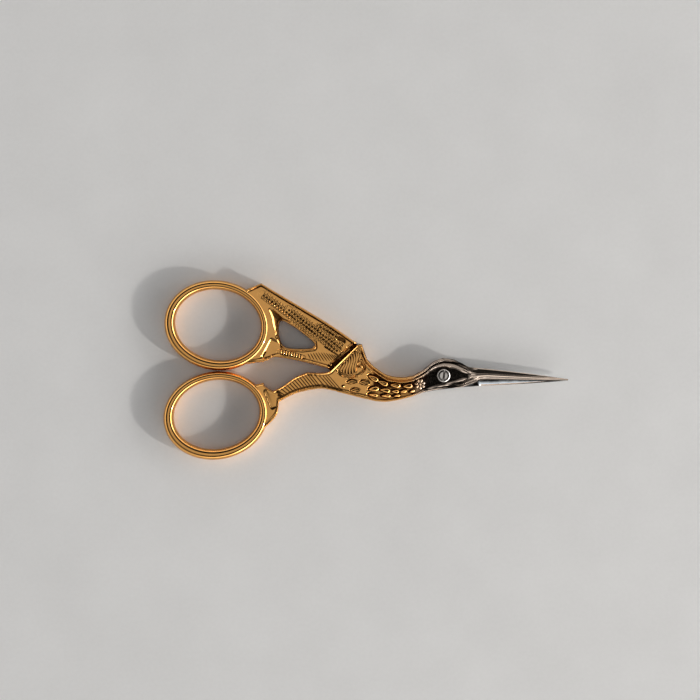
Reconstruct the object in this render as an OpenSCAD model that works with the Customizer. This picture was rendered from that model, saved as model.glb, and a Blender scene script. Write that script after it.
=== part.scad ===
// Stork embroidery scissors, closed: two lapped halves that turn on one slotted screw.
// The screw is the stork's eye, the blades are its beak and the finger bows lie behind its tail.
// The origin is on the pivot axis, in the plane that the scissors lie on.
// +X points to the tip of the beak, +Y to the wing and +Z up to the front face.

/* [Overall] */
// Pivot axis to the tip of the beak
beak_l = 28.4; // [24:0.2:34]
// Pivot axis to the near edge of the finger holes
shank_l = 41.7; // [39:0.3:45]
// Thickness of the bows, the leg and the wing
full_t = 3.2; // [2.8:0.1:3.8]
// Running gap between the two lapped faces
lap_gap = 0.04; // [0.02:0.01:0.1]

/* [Finger bows] */
// Length of a finger hole
bow_l = 19.5; // [17:0.5:22]
// Width of the finger hole on the wing half
rear_bow_w = 15.9; // [14:0.1:17.5]
// Width of the finger hole on the leg half
front_bow_w = 15.5; // [14:0.1:17.5]
// Tilt of each bow away from the other at its far end
bow_tilt = 10; // [4:0.5:14]
// Mean width of the band round a finger hole
bow_band = 2.33; // [1.9:0.01:2.8]
// How much the band grows on its heavy outer side
bow_swell = 0.28; // [0:0.02:0.5]
// Gap left between the bows when the scissors are closed
bow_gap = 0.08; // [0.04:0.02:0.4]

/* [Neck and head] */
// Width of the neck where it is narrowest
neck_w = 4.7; // [4:0.1:5.4]
// Width of the head across the eye
head_w = 6.9; // [6:0.1:8]
// How far the back half shows past the front half along the throat and the head
back_margin = 0.15; // [0.05:0.05:0.3]

/* [Beak] */
// Height of the blade's ridge above the lap at the root of the beak
ridge_h = 1.2; // [0.9:0.05:1.5]
// Height of the blade above the lap at the tip
tip_h = 0.35; // [0.25:0.05:0.6]
// Depth of the two blades together at the root of the beak
root_w = 4.2; // [3.6:0.1:5]
// How far the closed cutting edges pass each other at the root
edge_lap = 0.6; // [0.5:0.05:1]

/* [Relief] */
// Width of the smooth raised border
rim_w = 0.6; // [0.4:0.05:0.8]
// Depth of the feathered field below the border
field_drop = 0.3; // [0.15:0.05:0.45]
// Depth of the field round the eye below the border
eye_drop = 0.55; // [0.4:0.05:0.7]
// Width of the slot between the wing and the shoulder
shoulder_gap = 0.5; // [0.3:0.05:0.8]
// Length of a feather on the neck
feather_l = 2.2; // [1.6:0.1:2.4]
// Width of a feather on the neck
feather_w = 0.9; // [0.6:0.05:1.1]
// Distance from one barb of the wing to the next
barb_pitch = 0.75; // [0.6:0.05:1.2]
// Distance from one ridge of the leg to the next
ridge_pitch = 0.75; // [0.6:0.05:1.2]

/* [Pivot screw] */
// Diameter of the screw's domed head
eye_d = 3; // [2.6:0.1:3.4]
// Diameter of the screw's shank
shank_d = 2; // [1.6:0.1:2.2]
// Radial clearance of the shank in the half that turns
run_clear = 0.04; // [0.02:0.01:0.08]
// Depth of the head's seat below the field round the eye
seat_depth = 0.25; // [0.15:0.05:0.4]
// Width of the screwdriver slot
slot_w = 0.5; // [0.3:0.05:0.7]

/* [Hidden] */

gold = "#c99a45";
steel = "#b8b2ac";

// The lap plane is halfway up, and every face height is counted from it
mid_z = full_t / 2;
rim_h = full_t / 2;
field_h = rim_h - field_drop;
eye_h = rim_h - eye_drop;
crown_h = 0.14;
leg_crown = 0.04;
neck_drop = 0.1;
edge_round = 0.34;
groove_w = 0.3;
edge_t = 0.07;
leg_drop = 0.1;

function mix(a, b, f) = a + (b - a) * f;
function unit(v) = v / norm(v);

// Point at place t on a smooth curve through the points p
function on_curve(p, t) =
    let (
        last = len(p) - 1,
        i = min(floor(t), last - 1),
        f = t - i,
        b = p[i],
        c = p[i + 1],
        a = i > 0 ? p[i - 1] : 2 * b - c,
        d = i + 1 < last ? p[i + 2] : 2 * c - b
    )
    (2 * b + (c - a) * f + (2 * a - 5 * b + 4 * c - d) * f * f + (3 * (b - c) + d - a) * f * f * f) / 2;

// Finger bows: an ellipse for each hole, with a band that swells on its outer side

bow_a = bow_l / 2;
bow_steps = 60;
contact_y = 1.08;
front_stagger = 0.35;
rear_heavy_side = 200;
front_heavy_side = 240;

function bow_reach(half_w, tilt) = norm([bow_a * cos(tilt), half_w * sin(tilt)]);
function bow_rise(half_w, tilt) = norm([bow_a * sin(tilt), half_w * cos(tilt)]);
function bow_width(dir, heavy) = bow_band + bow_swell * cos(dir - heavy);

rear_bow_h = bow_rise(rear_bow_w / 2, bow_tilt);
front_bow_h = bow_rise(front_bow_w / 2, bow_tilt);
rear_bow_c = [
    -shank_l - bow_reach(rear_bow_w / 2, bow_tilt),
    contact_y + bow_gap / 2 + bow_width(270, rear_heavy_side) + rear_bow_h
];
front_bow_c = [
    -shank_l - front_stagger - bow_reach(front_bow_w / 2, bow_tilt),
    contact_y - bow_gap / 2 - bow_width(90, front_heavy_side) - front_bow_h
];

// Stations round a bow as [point on the middle of the band, outward direction, band width]
function bow_path(centre, half_w, tilt, heavy) = [
    for (k = [0:bow_steps - 1])
        let (
            f = 360 * k / bow_steps,
            turn = [[cos(tilt), -sin(tilt)], [sin(tilt), cos(tilt)]],
            out = turn * unit([cos(f) / bow_a, sin(f) / half_w]),
            w = bow_width(atan2(out.y, out.x), heavy)
        )
        [centre + turn * [bow_a * cos(f), half_w * sin(f)] + out * w / 2, out, w]
];
rear_bow = bow_path(rear_bow_c, rear_bow_w / 2, -bow_tilt, rear_heavy_side);
front_bow = bow_path(front_bow_c, front_bow_w / 2, bow_tilt, front_heavy_side);

// Window in the wing, with a raised rim of its own

wing_root_x = -shank_l;
wing_heel_x = -19.2;
window_rim_w = 0.75;
window_steps = 6;

function wing_x(f) = mix(wing_root_x, wing_heel_x, f);

window_line = [
    [wing_x(0.19), 9.0], [wing_x(0.25), 6.6], [wing_x(0.42), 6.2], [wing_x(0.535), 6.5],
    [wing_x(0.53), 7.6], [wing_x(0.43), 9.5], [wing_x(0.31), 11.4], [wing_x(0.20), 12.3]
];

function window_path() =
    let (
        n = len(window_line),
        ring = [for (k = [0:n + 2]) window_line[(k + n - 1) % n]],
        points = [for (k = [0:n * window_steps - 1]) on_curve(ring, 1 + k / window_steps)],
        m = len(points)
    )
    [
        for (k = [0:m - 1])
            let (run = unit(points[(k + 1) % m] - points[(k + m - 1) % m]))
            [points[k] + [run.y, -run.x] * window_rim_w / 2, [run.y, -run.x], window_rim_w]
    ];

// Faces of the two halves. Each is [rim width, crest at first edge, crest at second edge,
// field height, crown, ridge height, share of blade section]

// Where a blade's ridge lies across it, and the height of its back as a share of the ridge's
ridge_place = 0.47;
back_share = 0.55;
head_rim_w = 1.15;
ROOT = [rim_w, rim_h - 0.2, rim_h - 0.2, field_h - 0.2, 0, ridge_h, 0];
LEG = [rim_w, rim_h - leg_drop, rim_h - leg_drop, field_h, leg_crown, ridge_h, 0];
BODY = [rim_w, rim_h - leg_drop / 2, rim_h - leg_drop, field_h, crown_h, ridge_h, 0];
NECK = [rim_w, rim_h, rim_h - leg_drop, field_h - neck_drop, crown_h, ridge_h, 0];
HEAD = [head_rim_w, rim_h, rim_h - 0.15, eye_h, 0, ridge_h, 0];
CHIN = [head_rim_w, rim_h - 0.1, rim_h - 0.3, eye_h + 0.1, 0.1, ridge_h + 0.1, 0.3];
BEAK = [head_rim_w, ridge_h, ridge_h, eye_h, 0, ridge_h, 1];
TIP = [head_rim_w, tip_h, tip_h, tip_h, 0, tip_h, 1];
WING = [rim_w, rim_h, rim_h - leg_drop, field_h, 0, ridge_h, 0];
WING_HEEL = [rim_w, rim_h - 0.25, rim_h - 0.35, field_h - 0.15, 0, ridge_h, 0];

function backwards(line) = [for (k = [len(line) - 1:-1:0]) [1 - line[k][0], line[k][1]]];

// Points across a face from the first edge to the second, as [share of the width, height].
// The back of a blade lies on the first edge, or on the second if back_second is set
function face_points(w, face, back_second) =
    let (
        rim = min(face[0] / w, 0.22),
        foot = min((face[0] + groove_w) / w, 0.34),
        field = face[3],
        top = field + face[4],
        carved = [
            [0, face[1] - edge_round], [rim / 4, face[1]], [rim, face[1]], [foot, field], [0.42, top],
            [0.58, top], [1 - foot, field], [1 - rim, face[2]], [1 - rim / 4, face[2]],
            [1, face[2] - edge_round]
       ],
        h = face[5],
        blade_line = [
            [0, h * back_share], [ridge_place / 2, h * (1 + back_share) / 2], [ridge_place, h],
            for (k = [1:7]) [mix(ridge_place, 1, k / 7), mix(h, edge_t, k / 7)]
       ],
        ground = back_second ? backwards(blade_line) : blade_line
    )
    [for (k = [0:9]) mix(carved[k], ground[k], face[6])];

// Ring of points round a half at one station: over its front, then back along its underside
function station(a, b, face, back_second) =
    let (line = face_points(norm(b - a), face, back_second), n = len(line))
    [
        for (p = line) [mix(a.x, b.x, p[0]), mix(a.y, b.y, p[0]), mid_z + p[1]],
        for (k = [n - 1:-1:0]) [mix(a.x, b.x, line[k][0]), mix(a.y, b.y, line[k][0]), mid_z - line[k][1]]
    ];

// A bay is [pairs of edge points, steps, face at its start, face at its end].
// It leaves out its first ring, which is the last one of the bay before
function bay_rings(bay, first, back_second) =
    let (
        uppers = [for (p = bay[0]) p[0]],
        lowers = [for (p = bay[0]) p[1]],
        spans = len(bay[0]) - 1
    )
    [
        for (k = [first ? 0 : 1:bay[1]])
            let (f = k / bay[1], face = mix(bay[2], bay[3], f))
            station(on_curve(uppers, f * spans), on_curve(lowers, f * spans), face, back_second)
    ];
function run_rings(bays, back_second = false) = [
    for (i = [0:len(bays) - 1]) each bay_rings(bays[i], i == 0, back_second)
];

// Closed solid over a run of rings. Each end is closed by strips between its top and its underside
module skin(rings) {
    n = len(rings[0]);
    m = len(rings);
    sides = [
        for (i = [0:m - 2], j = [0:n - 1])
            let (k = (j + 1) % n)
            each [[i * n + j, (i + 1) * n + j, (i + 1) * n + k], [i * n + j, (i + 1) * n + k, i * n + k]]
    ];
    start = [for (j = [0:n / 2 - 2]) each [[j, j + 1, n - 2 - j], [j, n - 2 - j, n - 1 - j]]];
    end = [for (f = start) [for (k = [2:-1:0]) f[k] + (m - 1) * n]];
    polyhedron([for (r = rings) each r], concat(sides, start, end));
}

// Rounded band of height h swept round a closed path
band_sides = 10;
module band(path, h) {
    n = band_sides;
    m = len(path);
    function corner(f) = [sign(cos(f)) * pow(abs(cos(f)), 0.8), sign(sin(f)) * pow(abs(sin(f)), 0.8)];
    points = [
        for (s = path, k = [0:n - 1])
            let (q = corner(360 * (k + 0.5) / n), p = s[0] + s[1] * s[2] * q.x / 2)
            [p.x, p.y, mid_z + q.y * h / 2 / corner(90).y]
    ];
    faces = [
        for (i = [0:m - 1], j = [0:n - 1])
            let (u = (i + 1) % m, k = (j + 1) % n)
            each [[i * n + j, i * n + k, u * n + k], [i * n + j, u * n + k, u * n + j]]
    ];
    polyhedron(points, faces);
}

// Lap: takes away the underside of a half from the line through p and q on to the tip.
// It starts a little behind the line, to clear the full thickness of the other half
lap_back = 0.05;
module lap_cut(p, q) {
    run = unit(q - p) * 20;
    a = p - run - [lap_back, 0];
    b = q + run - [lap_back, 0];
    far = [beak_l + shank_l, 0];
    translate([0, 0, -1]) linear_extrude(1 + mid_z + lap_gap / 2) polygon([a, b, b + far, a + far]);
}

// Room for a band: everything inside the middle of its path
module band_room(path) translate([0, 0, -1]) linear_extrude(full_t + 2) polygon([for (s = path) s[0]]);

// Edges shared by both halves, given as pairs [upper point, lower point]

foot_x = -26.6;
notch_x = 2.9;
function leg_x(f) = mix(notch_x - shank_l, foot_x, f);
function across(x, y, w, lean = 0) = [[x + lean, y + w / 2], [x - lean, y - w / 2]];

front_bow_half = front_bow_w / 2 + bow_band;
rear_bow_half = rear_bow_w / 2 + bow_band;
shoulder_foot = [-25.65, 1.2];
shoulder_top = [-19.5, 7.05];
crown_corner = [-18.65, 7.05];
leg_foot = [[foot_x, 0.8], [-24.85, -3.45]];
shoulder_low = [-20.9, -4.5];
shoulder_out = unit([shoulder_foot.y - shoulder_top.y, shoulder_top.x - shoulder_foot.x]);
heel_foot = shoulder_foot + shoulder_out * shoulder_gap;
heel_top = shoulder_top + shoulder_out * shoulder_gap + [-0.2, -0.2];

THROAT = [
    [crown_corner, [-19.7, -4.85]],
    [[-17.4, 3.6], [-17.7, -5.3]],
    across(-15.4, -2.1, neck_w * 1.58),
    across(-12.8, -2.95, neck_w * 1.26, 0.1),
    across(-9.7, -2.95, neck_w * 1.05, 0.2),
    across(-7.05, -2.4, neck_w * 0.98, 0.1),
    across(-4.55, -1.25, (neck_w + head_w) / 2 * 0.89, 0.1),
    across(-2.2, -0.1, head_w * 0.94),
    across(0.15, 0.45, head_w, -0.2),
    across(2.45, 0.4, head_w * 0.92, -0.2),
    across(4.3, 0.05, head_w * 0.77)
];

// Beak: each blade has a straight back and a cutting edge that passes the other blade's
beak_root_x = 7.4;
beak_root_y = -0.28;
beak_tip_y = -0.95;
blunt_w = 0.35;
function beak_x(f) = mix(beak_root_x, beak_l, f);
function beak_y(f) = mix(beak_root_y, beak_tip_y, f);
// Pair of [back edge, cutting edge] at share f of the beak, for the blade whose back is on side s
function blade(f, s) =
    let (
        half = mix(root_w, blunt_w, f) / 2 + 0.12 * sin(180 * f),
        y = beak_y(f)
    )
    [[beak_x(f), y + s * half], [beak_x(f), y - s * min(edge_lap * (1 - 0.75 * f), half)]];
// The blades are full from this share of the beak. Before it their edges sweep in from the head
full_blade = 0.12;
function blade_stations(s) = [for (k = [0:5]) blade(mix(full_blade, 1, k / 5), s)];
function moved(p, v) = [p[0] + v[0], p[1] + v[1]];
function sweep_stations(s) = [
    moved(blade(0, s), [[-1.6, s * 0.15], [-0.5, -s * 0.75]]),
    moved(blade(full_blade / 3, s), [[-0.3, 0], [0.1, -s * 0.22]]),
    blade(full_blade, s)
];
function swap(pairs) = [for (p = pairs) [p[1], p[0]]];

// Upper edges moved out by the margin that shows past the front half
function with_margin(pairs) = [for (p = pairs) [p[0] + unit(p[0] - p[1]) * back_margin, p[1]]];

// Point beside a bow: dx from the near edge of the finger holes, and a share of the bow's half width up
function front_at(dx, f) = [dx - shank_l, front_bow_c.y + f * front_bow_half];
function rear_at(dx, f) = [dx - shank_l, rear_bow_c.y + f * rear_bow_half];

leg_start = [front_at(notch_x, 0.53), front_at(4.2, 0.28)];
shoulder = [[shoulder_foot, [-24.1, -3.7]], [shoulder_top, shoulder_low]];

FRONT = [
    [[[front_at(-1.5, 0.67), front_at(0.4, -0.36)],
      [front_at(0.4, 0.7), front_at(2.9, -0.12)],
      [front_at(1.4, 0.61), front_at(3.9, 0.04)],
      leg_start],
     9, ROOT, LEG],
    [[leg_start,
      [[leg_x(0.2), -2.2], [leg_x(0.2), -5.35]],
      [[leg_x(0.41), -0.4], [leg_x(0.4), -4.15]],
      [[leg_x(0.64), 0.75], [leg_x(0.65), -3.3]],
      [[leg_x(0.87), 0.65], [leg_x(0.9), -2.95]],
      leg_foot],
     12, LEG, BODY],
    [[leg_foot, shoulder[0]], 1, BODY, BODY],
    [shoulder, 6, BODY, BODY],
    [[shoulder[1], THROAT[0]], 1, BODY, BODY],
    [[for (k = [0:5]) THROAT[k]], 12, BODY, NECK],
    [[for (k = [5:8]) THROAT[k]], 7, NECK, HEAD],
    [[for (k = [8:10]) THROAT[k]], 5, HEAD, CHIN],
    [concat([THROAT[10]], sweep_stations(1)), 8, CHIN, BEAK],
    [blade_stations(1), 10, BEAK, TIP]
];

wing_corner = rear_at(0.4, 0.885);
wing_swell = 0.15;
function wing_top(f) = [wing_x(f), mix(wing_corner.y, heel_top.y, f) + wing_swell * sin(180 * f)];
wing_end = [wing_top(0.7), [wing_x(0.45), 3.05]];
wing_heel = [heel_top, heel_foot];
heel_turn = mix(wing_end, wing_heel, 0.93);
rear_crown = [crown_corner, [-24.5, -3.55]];

REAR = [
    [[[rear_at(-3.2, 0.78), rear_at(-3.2, -0.87)], [wing_corner, rear_at(-0.2, -0.83)]], 3, ROOT, WING],
    [[[wing_corner, rear_at(-0.2, -0.83)],
      [wing_top(0.2), [wing_x(0.07), 3.5]],
      [wing_top(0.4), [wing_x(0.17), 4.2]],
      wing_end,
      heel_turn],
     14, WING, WING],
    [[heel_turn, wing_heel], 1, WING, WING_HEEL],
    [[wing_heel, with_margin([rear_crown])[0]], 2, BODY, BODY],
    [with_margin([rear_crown, [[-18, 5.2], shoulder_low], THROAT[1]]), 6, BODY, BODY],
    [with_margin([for (k = [1:5]) THROAT[k]]), 10, BODY, NECK],
    [with_margin([for (k = [5:8]) THROAT[k]]), 7, NECK, HEAD],
    [with_margin([for (k = [8:10]) THROAT[k]]), 5, HEAD, CHIN],
    [concat(with_margin([THROAT[10]]), swap(sweep_stations(-1))), 8, CHIN, BEAK],
    [swap(blade_stations(-1)), 10, BEAK, TIP]
];

// Carving: keeled leaves and ribs that stand on the sunk fields. Their roots go below the field

root_depth = 0.15;
carve_h = 0.14;
leaf_sides = 8;
rib_share = 0.28;

// Leaf of half length l and half width w with a keel on top, pointed towards -X
module leaf(l, w, field, top) {
    n = leaf_sides;
    ring = [for (k = [0:n - 1]) let (f = 360 * (k + 0.5) / n) [l * cos(f), w * sin(f) * (1 + cos(f) / 2)]];
    function keel_end(k) = ring[k % n].x > 0 ? 2 * n : 2 * n + 1;
    points = [
        for (p = ring) [p.x, p.y, mid_z + field - root_depth],
        for (p = ring) [p.x, p.y, mid_z + mix(field, top, 0.4)],
        [0.4 * l, 0, mid_z + top],
        [-0.5 * l, 0, mid_z + top]
    ];
    faces = [
        for (k = [0:n - 1])
            let (next = (k + 1) % n)
            each [
                [k, n + k, n + next],
                [k, n + next, next],
                [n + next, n + k, keel_end(k)],
                if (keel_end(k) != keel_end(next)) [keel_end(next), n + next, keel_end(k)]
            ],
        for (k = [1:n - 2]) [0, k, k + 1]
    ];
    polyhedron(points, faces);
}

// Rib with a sharp top along the line from a to b, as wide as its share of the pitch
module rib(a, b, pitch) {
    side = unit([b.y - a.y, a.x - b.x]) * pitch * rib_share;
    low = mid_z + field_h - root_depth;
    top = mid_z + field_h + carve_h;
    points = [
        for (p = [a, b])
            each [[p.x + side.x, p.y + side.y, low], [p.x - side.x, p.y - side.y, low], [p.x, p.y, top]]
    ];
    ends = [[1, 2, 0], [3, 5, 4]];
    slopes = [[0, 2, 5], [0, 5, 3], [4, 5, 2], [4, 2, 1]];
    underside = [[0, 3, 4], [0, 4, 1]];
    polyhedron(points, concat(ends, slopes, underside));
}

// Point at place t along a run of edge pairs and share v of the way across
function between(pairs, t, v) =
    mix(on_curve([for (p = pairs) p[0]], t), on_curve([for (p = pairs) p[1]], t), v);
function heading(pairs, t, v) =
    let (run = between(pairs, t + 0.1, v) - between(pairs, t - 0.1, v))
    atan2(run.y, run.x);

// Rows of feathers on the neck: [place of the first, step, count, share across, share of the full width]
feather_rows = [[1.7, 0.94, 4, 0.36, 1], [1.75, 0.85, 4, 0.62, 0.9], [1.65, 0.95, 3, 0.8, 0.7]];
body_leaves = [[-20.85, -1.46], [-17.95, -1.62], [-20.15, -3.35]];
rosette_place = [5.74, 0.55];
rosette_r = 1.18;
petals = 7;
petal_l = rosette_r * 0.36;
petal_w = rosette_r * 0.28;

// Feathers, body leaves and rosette of one face
module neck_carving() {
    for (row = feather_rows, k = [0:row[2] - 1]) {
        t = row[0] + k * row[1];
        translate(between(THROAT, t, row[3])) rotate(heading(THROAT, t, row[3]))
            leaf(feather_l / 2, row[4] * feather_w / 2, field_h - neck_drop, rim_h - leg_drop);
    }
    for (p = body_leaves)
        translate(p) leaf(feather_l / 2, feather_w / 2, field_h + crown_h, field_h + 2 * carve_h);
    translate(between(THROAT, rosette_place[0], rosette_place[1])) {
        translate([0, 0, mid_z]) cylinder(r = rosette_r, h = field_h, $fn = 32);
        for (k = [0:petals - 1])
            rotate(360 * k / petals) translate([rosette_r - petal_l, 0])
                leaf(petal_l, petal_w, field_h, field_h + carve_h);
    }
}

// Slanting ridges of the leg. Each runs between two shares of the width, and leans by ridge_slant
leg_edges = FRONT[1][0];
leg_last = len(leg_edges) - 1;
ridge_start = 0.2;
ridge_slant = 0.5;
ridge_top = 0.17;
ridge_foot = 0.8;
module leg_ridges() {
    step = ridge_pitch / norm(leg_foot[0] - leg_start[0]) * leg_last;
    for (t = [ridge_start:step:leg_last - ridge_slant])
        rib(between(leg_edges, t, ridge_top), between(leg_edges, t + ridge_slant, ridge_foot), ridge_pitch);
}

// Two rows of barbs below the upper border of the wing, as [distance from its edge, half length of a barb]
barb_rows = [[0.95, 0.36], [2.5, 0.48]];
barb_start = 1.6;
barb_end = 1.1;
module wing_barbs() {
    length = norm(heel_top - wing_corner);
    run = unit(heel_top - wing_corner);
    inwards = [run.y, -run.x];
    for (row = barb_rows, s = [barb_start:barb_pitch:length - barb_end]) {
        p = wing_corner + run * s + inwards * (row[0] - wing_swell * sin(180 * s / length));
        rib(p - inwards * row[1], p + inwards * row[1], barb_pitch);
    }
}

module on_back() translate([0, 0, full_t]) mirror([0, 0, 1]) children();

module pivot_bore(r) translate([0, 0, -1]) cylinder(r = r, h = full_t + 2, $fn = 64);

seat_z = mid_z + eye_h - seat_depth;
seat_clear = 0.06;
boss_r = eye_d / 2 + 0.15;
boss_z = 0.12;
eye_rise = 0.15;

module front_half() color(gold) difference() {
    union() {
        difference() {
            skin(run_rings(FRONT));
            lap_cut(leg_foot[0], leg_foot[1]);
            band_room(front_bow);
        }
        band(front_bow, full_t);
        neck_carving();
        leg_ridges();
        on_back() leg_ridges();
    }
    pivot_bore(shank_d / 2 + run_clear);
    translate([0, 0, seat_z]) cylinder(r = eye_d / 2 + seat_clear, h = full_t, $fn = 64);
}

module rear_half() color(gold) difference() {
    union() {
        difference() {
            on_back() difference() {
                skin(run_rings(REAR, true));
                lap_cut(heel_foot, heel_top);
            }
            band_room(rear_bow);
            band_room(window_path());
        }
        band(rear_bow, full_t);
        band(window_path(), full_t - leg_drop);
        wing_barbs();
        on_back() {
            wing_barbs();
            neck_carving();
        }
        translate([0, 0, boss_z]) cylinder(r = boss_r, h = mid_z - lap_gap / 2 - boss_z, $fn = 64);
    }
    pivot_bore(shank_d / 2);
}

// Slotted screw: filed tail, shank and domed head
dome_steps = 6;
dome_side = 0.4;
slot_depth = 0.45;
module pivot_screw() color(steel) {
    head_r = eye_d / 2;
    dome_h = rim_h + eye_rise - (seat_z - mid_z) - dome_side;
    difference() {
        rotate_extrude($fn = 64) polygon([
            [0, 0], [shank_d / 2 - 0.1, 0], [shank_d / 2, 0.1], [shank_d / 2, seat_z + 0.01],
            [head_r, seat_z + 0.01],
            for (k = [0:dome_steps])
                [head_r * cos(90 * k / dome_steps), seat_z + dome_side + dome_h * sin(90 * k / dome_steps)]
        ]);
        rotate(-8) translate([-slot_w / 2, -eye_d, mid_z + rim_h + eye_rise - slot_depth])
            cube([slot_w, 2 * eye_d, 2 * slot_depth]);
    }
}

front_half();
rear_half();
pivot_screw();
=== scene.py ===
# Stork embroidery scissors: dressed model, studio and camera.
# Shapes are worked out in millimetres, in the part's own frame, and each finished mesh is put in metres.
import bmesh
import bpy
import math
import numpy as np
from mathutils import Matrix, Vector
from mathutils.bvhtree import BVHTree


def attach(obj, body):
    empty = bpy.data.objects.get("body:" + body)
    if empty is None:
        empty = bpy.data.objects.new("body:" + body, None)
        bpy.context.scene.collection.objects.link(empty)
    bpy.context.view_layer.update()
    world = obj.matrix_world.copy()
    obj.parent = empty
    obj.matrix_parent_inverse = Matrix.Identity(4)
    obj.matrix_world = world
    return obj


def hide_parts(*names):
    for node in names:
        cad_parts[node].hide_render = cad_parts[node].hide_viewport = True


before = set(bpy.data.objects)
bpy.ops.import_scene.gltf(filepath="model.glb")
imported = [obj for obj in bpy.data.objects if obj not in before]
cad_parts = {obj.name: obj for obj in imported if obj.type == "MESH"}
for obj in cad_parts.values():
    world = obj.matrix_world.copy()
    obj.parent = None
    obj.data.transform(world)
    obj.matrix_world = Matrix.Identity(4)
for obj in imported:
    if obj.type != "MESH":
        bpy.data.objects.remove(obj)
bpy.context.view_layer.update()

MM = 0.001
# Height of the plane where the halves lap, the gap between their ground faces, and the whole thickness
LAP_Z = 1.6
LAP_GAP = 0.04
FULL_T = 3.2
# Heights clear of the part, for the shapes that cut right through it
BELOW, ABOVE = -1, 5


# Part: outlines

def smooth_line(points, t):
    """Points at places t, from 0 to len(points) - 1, on a smooth curve through the points."""
    p = np.asarray(points, float)
    p = np.vstack([2 * p[0] - p[1], p, 2 * p[-1] - p[-2]])
    t = np.asarray(t, float)
    i = np.clip(np.floor(t).astype(int), 0, len(p) - 4)
    f = (t - i)[:, None]
    a, b, c, d = p[i], p[i + 1], p[i + 2], p[i + 3]
    return 0.5 * (2 * b + (c - a) * f + (2 * a - 5 * b + 4 * c - d) * f**2 + (3 * b - a - 3 * c + d) * f**3)


def mix(a, b, f):
    return a + (b - a) * f


def step(a, b, x):
    """Smooth step from 0 at a to 1 at b."""
    f = np.clip((np.asarray(x, float) - a) / (b - a), 0, 1)
    return f * f * (3 - 2 * f)


def across(x, y, w, lean=0.0):
    return [(x + lean, y + w / 2), (x - lean, y - w / 2)]


NECK_W, HEAD_W = 4.7, 6.9
CROWN = (-18.65, 7.05)
# The slot between the halves: the shoulder of the front half, and the heel of the wing across from it
SHOULDER_FOOT, SHOULDER_TOP = (-25.65, 1.2), (-19.5, 7.05)
HEEL_FOOT, HEEL_TOP = (-25.995, 1.562), (-20.045, 7.212)
# Pairs of an upper and a lower edge point, from the crown of the wing to the chin
THROAT = [
    [CROWN, (-19.7, -4.85)],
    [(-17.4, 3.6), (-17.7, -5.3)],
    across(-15.4, -2.1, NECK_W * 1.58),
    across(-12.8, -2.95, NECK_W * 1.26, 0.1),
    across(-9.7, -2.95, NECK_W * 1.05, 0.2),
    across(-7.05, -2.4, NECK_W * 0.98, 0.1),
    across(-4.55, -1.25, (NECK_W + HEAD_W) / 2 * 0.89, 0.1),
    across(-2.2, -0.1, HEAD_W * 0.94),
    across(0.15, 0.45, HEAD_W, -0.2),
    across(2.45, 0.4, HEAD_W * 0.92, -0.2),
    across(4.3, 0.05, HEAD_W * 0.77),
]


BEAK_X = (7.4, 28.4)
BEAK_Y = (-0.28, -0.95)
BEAK_W = (4.2, 0.35)
BEAK_BULGE = 0.12
EDGE_DEPTH = 0.6
FULL_BLADE = 0.12


def blade(f, side):
    """Pair of back edge and cutting edge at share f of the beak."""
    half = mix(*BEAK_W, f) / 2 + BEAK_BULGE * math.sin(math.pi * f)
    x, y = mix(*BEAK_X, f), mix(*BEAK_Y, f)
    return [(x, y + side * half), (x, y - side * min(EDGE_DEPTH * (1 - 0.75 * f), half))]


def moved(pair, by):
    return [(p[0] + d[0], p[1] + d[1]) for p, d in zip(pair, by)]


def blade_pairs(side):
    """The blade from where it has its full section to the tip."""
    return [blade(f, side) for f in np.linspace(FULL_BLADE, 1, 6)]


def sweep_pairs(side):
    """Where the edges of a blade sweep in from the head."""
    return [moved(blade(0, side), [(-1.6, side * 0.15), (-0.5, -side * 0.75)]),
            moved(blade(FULL_BLADE / 3, side), [(-0.3, 0), (0.1, -side * 0.22)]),
            blade(FULL_BLADE, side)]


def swapped(pairs):
    return [[p[1], p[0]] for p in pairs]


MARGIN = 0.1


def with_margin(pairs):
    """Upper edges moved out to where the back half shows past the front half."""
    out = []
    for a, b in pairs:
        a, b = np.array(a), np.array(b)
        out.append([tuple(a + (a - b) / np.linalg.norm(a - b) * MARGIN), tuple(b)])
    return out


# Part: cross sections
# Each gives (share of the width from the upper edge, height above the lap) at 16 places

def from_edges(w, upper, lower):
    """Section from (distance in from an edge, height) for both edges, narrowed where the half is slim."""
    scale = min(1.0, w / (upper[-1][0] + lower[0][0] + 0.3))
    return np.array([(u * scale / w, h) for u, h in upper] + [(1 - d * scale / w, h) for d, h in lower])


def root_section(w):
    return from_edges(w,
        [(0, 0.95), (0.1, 1.2), (0.2, 1.3), (0.35, 1.3), (0.5, 1.2), (0.62, 1.1), (0.75, 1.1), (0.9, 1.12),
         (1.1, 1.14)],
        [(1.1, 1.14), (0.9, 1.1), (0.7, 1.08), (0.5, 1.25), (0.3, 1.32), (0.12, 1.22), (0, 0.95)])


def leg_section(w):
    return from_edges(w,
        [(0, 1.15), (0.1, 1.38), (0.2, 1.46), (0.3, 1.46), (0.4, 1.34), (0.5, 1.3), (0.6, 1.32), (0.8, 1.36),
         (1.1, 1.38)],
        [(1.15, 1.36), (0.9, 1.3), (0.66, 1.16), (0.5, 1.34), (0.32, 1.46), (0.14, 1.4), (0, 1.1)])


def slot_section(w):
    return from_edges(w,
        [(0, 1.2), (0.06, 1.46), (0.14, 1.54), (0.2, 1.54), (0.5, 1.33), (0.62, 1.33), (0.85, 1.42),
         (1.2, 1.44), (1.6, 1.44)],
        [(1.4, 1.42), (1.0, 1.38), (0.7, 1.2), (0.55, 1.36), (0.32, 1.46), (0.14, 1.4), (0, 1.1)])


CROWN_RIM = [(0, 1.2), (0.1, 1.42), (0.24, 1.54), (0.4, 1.5), (0.5, 1.28), (0.58, 1.28), (0.88, 1.5),
             (1.1, 1.5), (1.4, 1.42)]


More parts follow.
